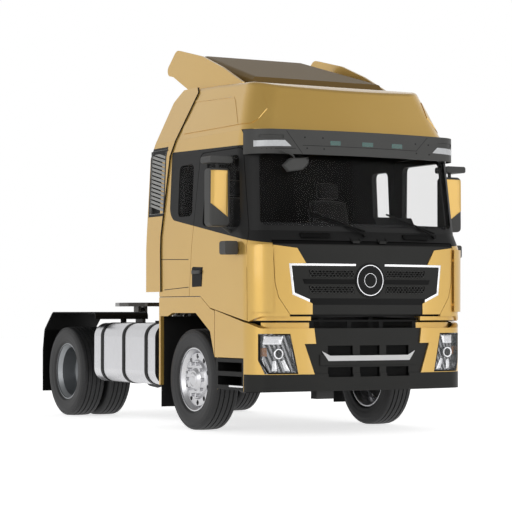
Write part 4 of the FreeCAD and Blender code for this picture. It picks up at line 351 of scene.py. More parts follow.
dress(gold_paint("cab_paint", window_band, inside_cab), "cab_shell", "door_left", "door_right")
dress(gold_paint("panel_paint"), "front_flap", "foot_bars", "air_deflectors", "bumper_shell")
dress(gold_paint("roof_paint", under_roof), "cab_roof")
# The hood's middle is bronze: painted shade for the dark reflection its top shows.
dress(gold_paint("hood_paint_with_shade", inward_of(HOOD_HALF), bare_or_shade=(SHADE_BRONZE, SHADE_BRONZE_PALE)), "roof_spoiler")
dress(gold_paint("flare_paint", inward_of(ARCH_INNER)), "wheel_flares")
dress(gold_paint("mudguard_paint", inward_of(GUARD_INNER),
                 lambda place: place.axis("Z") < GUARD_LOW), "front_mudguards")


# Side fairings: painted moulded skins behind the cab, each with a louvre of silver slats in
# a black frame.
LOUVRE = (2.092, 2.405, 2.245, 2.915)
LOUVRE_FRAME, SLAT_EDGE = 0.03, 0.003
SKIN_INNER, SKIN_LEAN_START, SKIN_LEAN = 1.236, 2.0, 0.05
ROOF_LINE, EDGE_FACING = 2.95, -0.55
SILVER, SILVER_METAL, SILVER_ROUGHNESS = colour(0.62, 0.62, 0.61), 0.5, 0.4


def on_louvre(place, margin):
    """1 on the louvre and on a margin round it."""
    behind, height = station(place), place.axis("Z")
    low, high, bottom, top = LOUVRE
    return ((behind > low - margin) * (behind < high + margin)
            * (height > bottom - margin) * (height < top + margin))


def fairing_edge(place):
    """1 on the fairing's inner side and on its cut edges, below the roof line."""
    height = place.axis("Z")
    facing = place.node("ShaderNodeTexCoord", output="Normal").axis("Y")
    inner_side = SKIN_INNER - (height - SKIN_LEAN_START).most(0) * SKIN_LEAN
    return ((across(place) < inner_side) * (height < ROOF_LINE)).most(facing < EDGE_FACING)


fairing_paint = gold_paint("fairing_paint", fairing_edge,
                           lambda place: on_louvre(place, LOUVRE_FRAME))
fairing_tree = fairing_paint.node_tree
fairing_shader = fairing_tree.nodes["Principled BSDF"]
slats = on_louvre(own_place(fairing_tree), SLAT_EDGE)
tone, metal, roughness = (Field(fairing_tree, fairing_shader.inputs[socket].links[0].from_socket)
                          for socket in ("Base Color", "Metallic", "Roughness"))
set_inputs(fairing_shader, Base_Color=slats.mix(tone, SILVER),
           Metallic=metal * (1 - slats) + slats * SILVER_METAL,
           Roughness=roughness * (1 - slats) + slats * SILVER_ROUGHNESS)
dress(fairing_paint, "side_fairings")


# Moulded parts: grained plastic for visor, mirrors and box, smoother black plastic for the
# rear mudguards, wipers and tank straps, and a matt black one for the steps.
def moulded(name, tone, pale, roughness, grain_scale, grain_depth, gloss=0.25):
    """Grained plastic with a slight change of tone across the piece."""
    material, shader, place = started(name)
    grain = place.noise(grain_scale)
    set_inputs(shader, Base_Color=place.noise(3).mix(tone, pale), Specular_IOR_Level=gloss,
               Roughness=grain * 0.14 + roughness, Normal=grain.bump(0.25, grain_depth))
    return material


grey_plastic = moulded("grey_plastic", colour(0.285, 0.285, 0.28), colour(0.32, 0.32, 0.315),
                       0.42, 420, 0.0008)
black_plastic = moulded("black_plastic", grey(0.06), grey(0.085), 0.34, 380, 0.0006, 0.09)
seal_black = moulded("seal_black", grey(0.05), grey(0.07), 0.5, 300, 0.0005)
dress(grey_plastic, "sun_visor", "mirror_left", "mirror_right", "side_box")
dress(black_plastic, "rear_mudguards", "wipers", "tank_straps")
dress(seal_black, "entry_steps")


# Frame, axles, springs and engine: satin black paint on rolled steel, rougher on castings,
# with a little road dust low down.
DUST = colour(0.33, 0.31, 0.29)


def chassis_paint(name, tone, roughness, grain_scale, grain_depth, metal=0.0):
    material, shader, place = started(name)
    grain = place.noise(grain_scale)
    dust = (place.noise(5, 4) - 0.45).most(0) * 1.2
    set_inputs(shader, Base_Color=dust.mix(tone, DUST), Metallic=metal,
               Roughness=dust * 0.3 + roughness, Normal=grain.bump(0.3, grain_depth))
    return material


frame_black = chassis_paint("frame_black", colour(0.11, 0.11, 0.115), 0.42, 60, 0.0006)
casting = chassis_paint("casting", colour(0.13, 0.13, 0.135), 0.6, 150, 0.0015)
bellows_rubber = chassis_paint("bellows_rubber", grey(0.08), 0.7, 200, 0.001)
greased = chassis_paint("greased_steel", colour(0.28, 0.27, 0.26), 0.25, 30, 0.0008, 0.8)
dress(frame_black, "frame_rails", "crossmembers", "cab_rests", "front_springs", "drive_shaft",
      "coupling_base", "deck_plate", "cab_floor")
dress(casting, "front_axle", "rear_axle", "engine", "knuckle_left", "knuckle_right")
dress(bellows_rubber, "rear_springs")
dress(greased, "coupling_plate")


# Fuel tank: rolled and polished aluminium, with fine draw lines round it.
def polished(name, tone, roughness, line_pitch, around=None):
    """Bright metal with fine lines: along one axis, or round an axle's centre."""
    material, shader, place = started(name)
    run = place.axis("Y")
    if around:
        run = (run - around[0]).reach(place.axis("Z") - around[1])
    lines = run.wave(line_pitch)
    set_inputs(shader, Base_Color=tone, Metallic=1.0,
               Roughness=place.noise(4) * 0.12 + lines * 0.03 + roughness,
               Normal=lines.bump(0.06, 0.0004))
    return material


dress(polished("tank_metal", colour(0.80, 0.80, 0.81), 0.20, 0.004), "fuel_tank")


# Glass: laminated and tempered panes with a slight grey tint; lamp covers are clear.
def pane(name, tone, alpha, roughness):
    material, shader, place = started(name)
    set_inputs(shader, Base_Color=tone, Roughness=place.noise(6) * 0.03 + roughness, Alpha=alpha,
               Specular_IOR_Level=0.5)
    return material


dress(pane("tinted_glass", colour(0.03, 0.035, 0.035), 0.06, 0.0), "windscreen", "quarter_glass",
      "door_glass_left", "door_glass_right")
dress(pane("clear_cover", colour(0.85, 0.87, 0.88), 0.07, 0.02), "headlamp_glass")


# Cab fittings: dashboard and steering wheel, moulded in grained black plastic and screwed
# to the bulkhead and the column.
interior = moulded("interior_plastic", colour(0.07, 0.07, 0.075), colour(0.09, 0.09, 0.095),
                   0.55, 260, 0.001)
dress(interior, "dashboard", "steering_wheel")


# Tyres: black rubber with ribbed treads and ringed side walls. Each pair at the rear is
# one piece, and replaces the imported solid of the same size.
SIDES = {"left": 1, "right": -1}
TYRE_RADIUS = cad_low[2] + 0.518
TWIN_SPACING = 0.334
FRONT_AXLE, REAR_AXLE = FRONT + 1.54, FRONT + 4.75
FRONT_X, REAR_X = 1.045, 1.056
TREAD_INNER, WALL_RIBS_INNER = 0.5, 0.47
TREAD_TURNS, RIB_TURNS, TYRE_TURNS = 64, 400, 96
GROOVES = (0.078, 0.028)
GROOVE_HALF, GROOVE_FLOOR, GROOVE_DEPTH = 0.0065, 0.0039, 0.011
CROWN_DROP, CROWN_HALF = 0.0035, 0.11
TYRE_WALL = [(0.116, 0.3262), (0.121, 0.336), (0.134, 0.345), (0.1395, 0.362), (0.1385, 0.366),
             (0.1445, 0.385), (0.1475, 0.412), (0.1468, 0.436), (0.1475, 0.440), (0.1475, 0.446),
             (0.1430, 0.466), (0.1375, 0.484), (0.1405, 0.4865), (0.1300, 0.503),
             (0.1235, 0.5105), (0.1120, 0.5145)]


def tyre_section():
    """A tyre's closed section, from one bead over the tread to the other."""
    half = list(TYRE_WALL)
    for groove in GROOVES:
        for offset, cut in ((GROOVE_HALF, 0), (GROOVE_FLOOR, GROOVE_DEPTH),
                            (-GROOVE_FLOOR, GROOVE_DEPTH), (-GROOVE_HALF, 0)):
            x = groove + offset
            half.append((x, TYRE_RADIUS - CROWN_DROP * (x / CROWN_HALF) ** 2 - cut))
    return half + [(-x, radius) for x, radius in half[::-1]]


def finished(name, mesh, material, body, smooth=0.6):
    """A piece of its own: one mesh with one finish, riding on a body."""
    piece = placed(name, mesh)
    mesh.materials.clear()
    mesh.materials.append(material)
    if smooth:
        for face in mesh.polygons:
            face.use_smooth = True
        mesh.set_sharp_from_angle(angle=smooth)
    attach(piece, body)
    return piece


def shaped(name, shape, material, body, smooth=0.6):
    """A piece from a shape that has been built up."""
    mesh = bpy.data.meshes.new(name)
    shape.to_mesh(mesh)
    shape.free()
    return finished(name, mesh, material, body, smooth)


def skinned(shape, rings):
    """Faces from each ring of corners to the next, and from the last to the first."""
    for here, there in zip(rings, rings[1:] + rings[:1]):
        for index in range(len(here)):
            after = (index + 1) % len(here)
            shape.faces.new((here[index], here[after], there[after], there[index]))


def turned(name, sections, turns, centre, material, body, smooth=0.6):
    """Closed rings of revolution about an axle along X."""
    shape = bmesh.new()
    for section in sections:
        rings = []
        for turn in range(turns):
            angle = math.tau * turn / turns
            rings.append([shape.verts.new(centre + Vector((x, r * math.sin(angle),
                                                           r * math.cos(angle))))
                          for x, r in section])
        skinned(shape, rings)
    bmesh.ops.remove_doubles(shape, verts=shape.verts, dist=1e-6)
    bmesh.ops.recalc_face_normals(shape, faces=shape.faces)
    return shaped(name, shape, material, body, smooth)


def tyre_rubber(name, axle):
    """Black rubber: sipes across the tread, fine ribs on the walls."""
    material, shader, place = started(name)
    behind, height = place.axis("Y") - axle, place.axis("Z") - TYRE_RADIUS
    radius, turn = behind.reach(height), behind.math("ARCTAN2", height)
    sipes = (turn.wave(math.tau / TREAD_TURNS) > 0.14) * (radius > TREAD_INNER)
    ribs = turn.wave(math.tau / RIB_TURNS) * (radius > WALL_RIBS_INNER) * (radius < TREAD_INNER)
    grain = place.noise(90)
    relief = sipes + ribs * 0.25 + grain * 0.12
    set_inputs(shader, Base_Color=grain.mix(colour(0.105, 0.105, 0.11), colour(0.15, 0.15, 0.155)),
               Roughness=grain * 0.15 + 0.5, Normal=relief.bump(0.6, 0.004))
    return material


section = tyre_section()
for side, sign in SIDES.items():
    tyre = turned(f"road_tyre_front_{side}", [section], TYRE_TURNS,
                  Vector((sign * FRONT_X, FRONT_AXLE, TYRE_RADIUS)),
                  tyre_rubber(f"rubber_front_{side}", FRONT_AXLE), f"wheel_front_{side}")
    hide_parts(f"tyre_front_{side}")
    inner = [(x - sign * TWIN_SPACING, radius) for x, radius in section]
    tyres = turned(f"road_tyres_rear_{side}", [section, inner], TYRE_TURNS,
                   Vector((sign * REAR_X, REAR_AXLE, TYRE_RADIUS)),
                   tyre_rubber(f"rubber_rear_{side}", REAR_AXLE), f"wheels_rear_{side}")
    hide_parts(f"tyres_rear_{side}")


# Rims: forged and polished at the front, silver paint at the rear. Ten nuts hold each one,
# over a cast brake drum, and the front hubs have a turned cap.
NUT_CIRCLE, NUTS = 0.1675, 10
NUT_RADIUS, NUT_LENGTH, NUT_SEAT = 0.0185, 0.03, 0.001
FRONT_FACE, REAR_FACE = 0.0968, -0.153
RIM_LINES, RING_TURNS = 0.003, 48
ALONG_X, ALONG_Y, UPRIGHT = (0.0, math.pi / 2, 0.0), (math.pi / 2, 0.0, 0.0), (0.0, 0.0, 0.0)
RIMS = {
    "front": ("wheel_front", "rim_front", FRONT_AXLE, FRONT_X + FRONT_FACE, "polished_aluminium"),
    "rear": ("wheels_rear", "rims_rear", REAR_AXLE, REAR_X + REAR_FACE, "rim_steel"),
}
rim_metal = {
    "front": polished("rim_metal_front", colour(0.80, 0.80, 0.81), 0.26, RIM_LINES,
                      (FRONT_AXLE, TYRE_RADIUS)),
    "rear": polished("rim_metal_rear", colour(0.58, 0.59, 0.60), 0.38, RIM_LINES,
                     (REAR_AXLE, TYRE_RADIUS)),
}
DRUM = [(0.045, 0.08), (0.045, 0.243), (0.056, 0.243), (0.056, 0.08)]
HUB = FRONT_FACE + 0.026
HUB_CAP = [(HUB - 0.002, 0.0), (HUB + 0.010, 0.0), (HUB + 0.010, 0.030), (HUB + 0.007, 0.034),
           (HUB + 0.007, 0.058), (HUB + 0.011, 0.063), (HUB + 0.004, 0.074), (HUB - 0.002, 0.078)]


def plain_mesh(holder):
    """The mesh that an object's modifier or curve comes to; the object itself goes."""
    solved = holder.evaluated_get(bpy.context.evaluated_depsgraph_get())
    mesh = bpy.data.meshes.new_from_object(solved)
    holder.modifiers.clear()
    bpy.data.objects.remove(holder)
    return mesh


def copies(name, places, form, material, turn, **sizes):
    """Copies of one small form at many places, made by a node tree with named sizes."""
    tree = bpy.data.node_groups.new(name, "GeometryNodeTree")
    tree.interface.new_socket("Places", in_out="INPUT", socket_type="NodeSocketGeometry")
    tree.interface.new_socket("Copies", in_out="OUTPUT", socket_type="NodeSocketGeometry")
    keys = {}
    for label, value in sizes.items():
        sort = "NodeSocketInt" if isinstance(value, int) else "NodeSocketFloat"
        keys[label] = tree.interface.new_socket(label, in_out="INPUT", socket_type=sort).identifier
    entry = tree.nodes.new("NodeGroupInput")
    given = {label: Field(tree, entry.outputs[label]) for label in ("Places", *sizes)}
    flow = Field(tree)
    spread = flow.node("GeometryNodeInstanceOnPoints", {
        "Points": given["Places"], "Instance": form(flow, given), "Rotation": turn})
    whole = flow.node("GeometryNodeRealizeInstances", {"Geometry": spread})
    finish = flow.node("GeometryNodeSetMaterial", {"Geometry": whole, "Material": material})
    leave = tree.nodes.new("NodeGroupOutput")
    tree.links.new(finish.socket, leave.inputs["Copies"])
    points = bpy.data.meshes.new(name)
    points.from_pydata([tuple(place) for place in places], [], [])
    holder = placed(name, points)
    modifier = holder.modifiers.new("copies", "NODES")
    modifier.node_group = tree
    for label, value in sizes.items():
        modifier[keys[label]] = value
    return plain_mesh(holder)


def prism(flow, given):
    """A short bar with a number of sides."""
    return flow.node("GeometryNodeMeshCylinder", {
        "Vertices": given["Sides"], "Radius": given["Radius"], "Depth": given["Length"]})


def studs(name, places, turn, sides, radius, length, material, body, smooth=0.5):
    """Nuts, screw heads or caps of one size, as short bars with a number of sides."""
    bars = copies(name, places, prism, material, turn, Sides=sides, Radius=radius, Length=length)
    return finished(name, bars, material, body, smooth)


for side, sign in SIDES.items():
    for end, (wheel, rim, axle, face, slot) in RIMS.items():
        dress(rim_metal[end], f"{rim}_{side}")
        places = []
        for nut in range(NUTS):
            angle = math.tau * (nut + 0.5) / NUTS
            places.append((sign * (face + NUT_LENGTH / 2 - NUT_SEAT),
                           axle + NUT_CIRCLE * math.sin(angle),
                           TYRE_RADIUS + NUT_CIRCLE * math.cos(angle)))
        studs(f"wheel_nuts_{end}_{side}", places, ALONG_X, 6, NUT_RADIUS, NUT_LENGTH,
              rim_metal[end], f"{wheel}_{side}", 0)
    for name, outline, metal, slot in (
            (f"brake_drum_{side}", DRUM, casting, "cast_iron"),
            (f"hub_cap_{side}", HUB_CAP, rim_metal["front"], "polished_aluminium")):
        turned(name, [[(sign * x, radius) for x, radius in outline]], RING_TURNS,
               Vector((sign * FRONT_X, FRONT_AXLE, TYRE_RADIUS)), metal, f"wheel_front_{side}",
               0.5)


# Grille trim: a bright moulded frame from the badge round each side of the grille, pressed
# into the seam between grille and painted wing.
AHEAD = {"front": Vector((0, 1, 0)), "rear": Vector((0, -1, 0)), "right": Vector((1, 0, 0)),
         "left": Vector((-1, 0, 0))}
FAR = 5
PLATE_STEP = 0.04


def on_front(place):
    """Y of the cab's outer face at a place on its front."""
    if place.z < LEAN_START:
        back = 0
    elif place.z < LEAN_SILL:
        back = SILL_BACK * (place.z - LEAN_START) / (LEAN_SILL - LEAN_START)
    else:
        back = SILL_BACK + SCREEN_LEAN * (place.z - LEAN_SILL)
    return FRONT + back + BOW - math.sqrt(BOW ** 2 - place.x ** 2)


def face_of(view, *names):
    """Where a view first meets the given nodes, as a depth at each place."""
    merged = bmesh.new()
    for name in names:
        merged.from_mesh(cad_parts[name].data)
    tree = BVHTree.FromBMesh(merged)
    merged.free()
    way = AHEAD[view]

    def depth_at(place):
        start = place - way * (FAR + place.dot(way))
        found = tree.ray_cast(start, way)[0] or tree.find_nearest(place)[0]
        return found.dot(way)

    return depth_at


def spread_out(a, b, view):
    """A flat place as seen in a view: across and up, or station and up from a side."""
    if view in ("front", "rear"):
        return Vector((a, 0, b))
    return Vector((0, FRONT + a, b))


def laid(name, outlines, view, depth_at, lift, depth, material, body, bevel=0.0,
         smooth=0.6):
    """Plates with the given outlines, laid on a surface that they follow. They stand
    proud of it by lift and are as thick as depth."""
    way = AHEAD[view]
    shape = bmesh.new()
    for outline in outlines:
        shape.faces.new([shape.verts.new(spread_out(*point, view)) for point in outline])
    bmesh.ops.triangulate(shape, faces=shape.faces)
    for along in (Vector((abs(way.y), abs(way.x), 0)), Vector((0, 0, 1))):
        reach = [vert.co.dot(along) for vert in shape.verts]
        for index in range(1, int((max(reach) - min(reach)) / PLATE_STEP) + 1):
            bmesh.ops.bisect_plane(shape, geom=[*shape.verts, *shape.edges, *shape.faces],
                                   plane_co=along * (min(reach) + PLATE_STEP * index),
                                   plane_no=along)
    bmesh.ops.remove_doubles(shape, verts=shape.verts, dist=1e-6)
    for vert in shape.verts:
        vert.co += way * (depth_at(vert.co) - vert.co.dot(way) - lift)
    rim = [edge for edge in shape.edges if edge.is_boundary]
    faces = list(shape.faces)
    back = {vert: shape.verts.new(vert.co + way * depth) for vert in list(shape.verts)}
    for face in faces:
        shape.faces.new([back[vert] for vert in reversed(face.verts)])
    for edge in rim:
        loop = edge.link_loops[0]
        one, two = loop.vert, loop.link_loop_next.vert
        shape.faces.new((two, one, back[one], back[two]))
    bmesh.ops.recalc_face_normals(shape, faces=shape.faces)
    if bevel:
        bmesh.ops.bevel(shape, geom=rim, offset=bevel, segments=2, affect="EDGES", profile=0.5)
    return shaped(name, shape, material, body, smooth)


def on_side(outline, sign):
    """An outline of the front, taken to one side."""
    return [(sign * x, z) for x, z in outline]


def both_sides(outline):
    return [on_side(outline, sign) for sign in (-1, 1)]


def bright(name, tone, roughness):
    """Silver-coated or chromed plastic."""
    material, shader, place = started(name)
    set_inputs(shader, Base_Color=tone, Metallic=0.85,
               Roughness=place.noise(8) * 0.08 + roughness)
    return material


silver = bright("satin_silver", colour(0.93, 0.93, 0.935), 0.22)
TRIM_HALF = [(0.168, 1.680), (0.887, 1.680), (0.852, 1.378), (0.672, 1.304), (0.672, 1.331),
             (0.829, 1.396), (0.860, 1.657), (0.168, 1.659)]
laid("grille_trim", both_sides(TRIM_HALF), "front", on_front, 0.002, 0.016,
     silver, "front_flap", 0.002)


# Grille mesh: two rows of fine moulded honeycomb over the openings, with a plain bar
# between the rows.
CELL, WALL = 0.018, 0.0040
STRETCH_X, STRETCH_Z = 1.25, 0.78
ROWS, ROW_HEIGHT = (1.392, 1.547), 0.070
ROW_INNER, ROW_OUTER = 0.185, 0.662


def hexagon(flow, given):
    """One cell of honeycomb: a six-sided ring of wire."""
    ring, wire = (flow.node("GeometryNodeCurvePrimitiveCircle", {
        "Resolution": sides, "Radius": given[size]}) for sides, size in ((6, "Cell"), (4, "Wall")))
    return flow.node("GeometryNodeCurveToMesh", {"Curve": ring, "Profile Curve": wire})


def honeycomb(name, patches, set_back, cell, material, body):
    """Honeycomb over flat patches (x, z, width, height), bent to follow the front."""
    pitch_x, pitch_z = cell * math.sqrt(3), cell * 1.5
    places = []
    for x0, z0, wide, tall in patches:
        x0, z0, wide, tall = x0 / STRETCH_X, z0 / STRETCH_Z, wide / STRETCH_X, tall / STRETCH_Z
        columns, rows = int(wide / pitch_x), int(tall / pitch_z)
        for row in range(rows):
            for column in range(columns - row % 2):
                places.append((x0 + pitch_x * (column + 0.5 + row % 2 / 2), 0,
                               z0 + (tall - pitch_z * (rows - 1)) / 2 + pitch_z * row))
    mesh = copies(name, places, hexagon, material, (math.pi / 2, math.pi / 6, 0.0),
                  Cell=cell, Wall=WALL)
    for vert in mesh.vertices:
        vert.co.x *= STRETCH_X
        vert.co.z *= STRETCH_Z
        vert.co.y += on_front(vert.co) + set_back
    return finished(name, mesh, material, body, 0)


row_patches = [(left, low, ROW_OUTER - ROW_INNER, ROW_HEIGHT)
               for low in ROWS for left in (-ROW_OUTER, ROW_INNER)]
honeycomb("grille_mesh", row_patches, 0.003, CELL, grey_plastic, "front_flap")
BAR_HALF = [(0.172, 1.482), (0.172, 1.528), (0.742, 1.528), (0.722, 1.482)]
laid("grille_bars", both_sides(BAR_HALF), "front", on_front, -0.003, 0.008,
     black_plastic, "front_flap", 0.002)


# Grille panel and badge: black moulded plastic, with painted shade darkening its openings and
# recess, and a plain gloss disc and two bright rings snapped over the middle. The bumper's centre is
# of the same kind, with painted shade in its openings.
BADGE_HEIGHT, BADGE_RADIUS, BADGE_PROUD = 1.52, 0.172, 0.006
BADGE_RINGS = ((0.145, 0.152), (0.066, 0.070))
BLACK, BLACK_PALE = colour(0.175, 0.175, 0.17), colour(0.20, 0.20, 0.195)
# The first grey is painted shade for openings and the recess; the second is the badge disc's own
# black.
POCKET_SHADE, BADGE_BLACK = grey(0.035), grey(0.04)
BADGE_BRIGHT = colour(0.86, 0.86, 0.87)
PANEL_DEPTH, RECESS_LOW, RECESS_HIGH = 0.014, 1.278, 1.342
BUMPER_DEPTH, BUMPER_HALF = 0.02, 0.62


def sunk(place):
    """How far a place lies behind the bowed front."""
    return station(place) - bowed(place)


# Painted shade: 1 in the grille's sunk openings and across its recessed band.
def panel_pocket_shade(place):
    height = place.axis("Z")
    return (sunk(place) > PANEL_DEPTH).most((height < RECESS_HIGH) * (height > RECESS_LOW))


# Painted shade: 1 in the sunk openings of the bumper's centre.
def bumper_pocket_shade(place):
    return (sunk(place) > BUMPER_DEPTH) * (across(place) < BUMPER_HALF)


def pocket_shaded(name, shaded_pockets):
    """Black plastic with painted shade: darker where the given field is 1."""
    material, shader, place = started(name)
    tone = shaded_pockets(place).mix(place.noise(3).mix(BLACK, BLACK_PALE), POCKET_SHADE)
    set_inputs(shader, Base_Color=tone, Roughness=0.4, Specular_IOR_Level=0.12,
               Normal=place.noise(380).bump(0.2, 0.0006))
    return material, shader, place, tone


panel_black, panel_shader, panel_place, panel_tone = pocket_shaded("grille_black", panel_pocket_shade)
from_middle = panel_place.axis("X").reach(panel_place.axis("Z") - BADGE_HEIGHT)
raised = station(panel_place) < BADGE_PROUD
disc = (from_middle < BADGE_RADIUS) * raised
outer_ring, inner_ring = ((from_middle > inner) * (from_middle < outer) * raised
                          for inner, outer in BADGE_RINGS)
rings = outer_ring.most(inner_ring)
set_inputs(panel_shader, Base_Color=rings.mix(disc.mix(panel_tone, BADGE_BLACK), BADGE_BRIGHT),
           Metallic=rings * 0.9, Roughness=0.38 - disc * 0.16)
dress(panel_black, "grille")
dress(pocket_shaded("bumper_black", bumper_pocket_shade)[0], "bumper_centre")


# Bumper inserts: a white strip on the cross bar, honeycomb and gauze behind the openings,
# and honeycomb in the ledge above, all moulded and clipped in from behind.
FINE_CELL = 0.012
STRIP = [(-0.472, 0.732), (0.472, 0.732), (0.541, 0.826), (0.452, 0.783), (-0.452, 0.783),
         (-0.541, 0.826)]
STRIP_PROUD = 0.0007
INTAKE_ROWS = ((0.575, 0.670), (0.780, 0.880))
INTAKE_BAYS = ((-0.470, -0.195), (-0.115, 0.115), (0.195, 0.470))
LEDGE_BAYS, LEDGE_LOW, LEDGE_HEIGHT = ((-0.574, 0.364), (-0.16, 0.32), (0.21, 0.364)), 1.054, 0.058


def oblong(left, low, right, high):
    return [(left, low), (right, low), (right, high), (left, high)]


white_plastic = moulded("white_plastic", grey(0.93), grey(0.96), 0.25, 200, 0.0002)
laid("intake_strip", [STRIP], "front", lambda place: max(on_front(place), FRONT + STRIP_PROUD),
     STRIP_PROUD, 0.004, white_plastic, "chassis")
openings = [(left, low, right, high) for low, high in INTAKE_ROWS for left, right in INTAKE_BAYS]
honeycomb("intake_mesh", [(left, low, right - left, high - low)
                          for left, low, right, high in openings],
          0.045, FINE_CELL, seal_black, "chassis")
laid("intake_gauze", [oblong(*opening) for opening in openings], "front", on_front, -0.052,
     0.003, seal_black, "chassis", smooth=0)
honeycomb("ledge_mesh", [(left, LEDGE_LOW, wide, LEDGE_HEIGHT) for left, wide in LEDGE_BAYS],
          0.106, FINE_CELL, seal_black, "chassis")


# Sun visor: smoked moulding screwed over the screen's top edge. It has fine seams, three
# green cab lamps and a clear marker lamp at each end.
LAMP_LOW, LAMP_HIGH = 2.842, 2.886
VISOR_LAMPS = ((-0.413, -0.298), (-0.054, 0.075), (0.300, 0.431))
MARKER = [(1.165, 2.812), (1.165, 2.872), (0.893, 2.878), (0.826, 2.819)]
VISOR_SEAM = 0.0045
SEAMS = [[(-0.877, 2.970), (-0.709, 2.748)], [(-0.709, 2.832), (0.612, 2.829), (0.758, 2.970)],
         [(-1.15, 2.79), (-0.78, 2.80)]]
SCREW_SIDES, SCREW_RADIUS, SCREW_LENGTH = 10, 0.0075, 0.004
VISOR_SCREWS = ((-0.686, 2.911), (-0.493, 2.910), (-0.663, 2.805), (-0.481, 2.803),
                (0.600, 2.899), (0.770, 2.897), (0.612, 2.805), (0.782, 2.800))
BAND_SCREWS, BAND_SCREW_RADIUS, BAND_SCREW_DROP = (0.52, 0.78, 1.06, 1.36), 0.006, 0.011


def ribbon(width, *lines):
    """Narrow strips of quads along lines of flat points."""
    strips = []
    for points in lines:
        for (a0, b0), (a1, b1) in zip(points, points[1:]):
            run = math.hypot(a1 - a0, b1 - b0)
            off_a, off_b = (b0 - b1) / run * width / 2, (a1 - a0) / run * width / 2
            strips.append([(a0 + off_a, b0 + off_b), (a0 - off_a, b0 - off_b),
                           (a1 - off_a, b1 - off_b), (a1 + off_a, b1 + off_b)])
    return strips


def lens_material(name, tone, ribs):
    """Moulded lens plastic with fine ribs."""
    material, shader, place = started(name)
    lines = (place.axis("X") + place.axis("Y")).wave(ribs)
    set_inputs(shader, Base_Color=place.noise(40).mix(tone, [c * 0.8 for c in tone[:3]] + [1]),
               Roughness=lines * 0.1 + 0.12, Normal=lines.bump(0.5, 0.002), Coat_Weight=0.5)
    return material


visor_front = face_of("front", "sun_visor")
green_lens = lens_material("green_lens", colour(0.20, 0.40, 0.37), 0.006)
clear_lens = lens_material("clear_lens", colour(0.88, 0.89, 0.90), 0.012)
laid("visor_lamps", [oblong(left, LAMP_LOW, right, LAMP_HIGH) for left, right in VISOR_LAMPS],
     "front", visor_front, 0.0015, 0.006, green_lens, "cab")
laid("marker_lamps", both_sides(MARKER), "front", visor_front, 0.004, 0.010,
     clear_lens, "cab", 0.002)
laid("visor_seams", ribbon(VISOR_SEAM, *SEAMS), "front", visor_front, 0.0005, 0.002,
     seal_black, "cab")
screw_places = [(x, visor_front(Vector((x, 0, z))) - SCREW_LENGTH / 4, z) for x, z in VISOR_SCREWS]
studs("visor_screws", screw_places, ALONG_Y, SCREW_SIDES, SCREW_RADIUS, SCREW_LENGTH,
      seal_black, "cab")
for side, sign in SIDES.items():
    wall = face_of(side, "cab_shell")
    places = []
    for run in BAND_SCREWS:
        place = Vector((0, FRONT + run, BAND_TOP + BAND_TOP_RISE * run - BAND_SCREW_DROP))
        place.x = -sign * wall(place)
        places.append(place)
    studs(f"band_screws_{side}", places, ALONG_X, SCREW_SIDES, BAND_SCREW_RADIUS, SCREW_LENGTH,
          seal_black, "cab")


# Mirrors: moulded housings with painted front shells, and silvered glass that looks back.
SHELL = [(1.298, 2.596), (1.482, 2.596), (1.484, 2.270), (1.298, 2.140)]
MIRROR_PANES = (oblong(1.286, 2.215, 1.476, 2.600), oblong(1.286, 2.062, 1.476, 2.196),
                oblong(1.270, 1.782, 1.384, 1.886))
mirror_silver = bright("mirror_silver", colour(0.86, 0.87, 0.88), 0.02)
shell_paint = gold_paint("mirror_shell_paint")
for side, sign in SIDES.items():
    node, door = f"mirror_{side}", f"door_{side}"
    laid(f"mirror_shell_{side}", [on_side(SHELL, sign)], "front", face_of("front", node),
         0.006, 0.008, shell_paint, door, 0.003)
    laid(f"mirror_glass_{side}", [on_side(outline, sign) for outline in MIRROR_PANES], "rear",
         face_of("rear", node), 0.002, 0.004, mirror_silver, door, 0.001)


# Close-view mirror: a small rounded mirror on a bent tube, under the visor's kerb-side end,
# that shows the ground before the bumper.
CLOSE_MIRROR = [(-0.927, 2.632), (-0.868, 2.568), (-0.706, 2.592), (-0.636, 2.655),
                (-0.646, 2.716), (-0.845, 2.702)]
CLOSE_PLANE = FRONT + 0.100
CLOSE_ARM = [(-0.79, 0.025, 2.69), (-0.80, 0.025, 2.735), (-0.90, 0.010, 2.755),
             (-0.97, 0.0, 2.775)]
ARM_RADIUS = 0.009


def flat(depth):
    """A plane at one depth along a view."""
    return lambda place: depth


def tube(name, points, radius, material, body):
    """A round bar through a few points, with bends between them."""
    curve = bpy.data.curves.new(name, "CURVE")
    curve.dimensions = "3D"
    curve.bevel_depth, curve.bevel_resolution = radius, 3
    curve.use_fill_caps = True
    line = curve.splines.new("NURBS")
    line.points.add(len(points) - 1)
    for point, place in zip(line.points, points):
        point.co = (*place, 1)
    line.order_u, line.use_endpoint_u, line.resolution_u = 3, True, 8
    return finished(name, plain_mesh(placed(name, curve)), material, body, 1.0)


laid("close_mirror", [CLOSE_MIRROR], "front", flat(CLOSE_PLANE), 0, 0.046,
     grey_plastic, "cab", 0.014, 1.0)
tube("close_mirror_arm", [(x, CLOSE_PLANE + behind, z) for x, behind, z in CLOSE_ARM],
     ARM_RADIUS, grey_plastic, "cab")


# Screen step bars: two short moulded grips, screwed on under the screen.
GRIP = [(0.432, 1.934), (0.738, 1.930), (0.745, 1.940), (0.745, 1.972), (0.738, 1.980),
        (0.432, 1.982), (0.425, 1.974), (0.425, 1.941)]
laid("front_grips", both_sides(GRIP), "front", on_front, 0.022, 0.020,
     black_plastic, "cab", 0.006, 1.0)
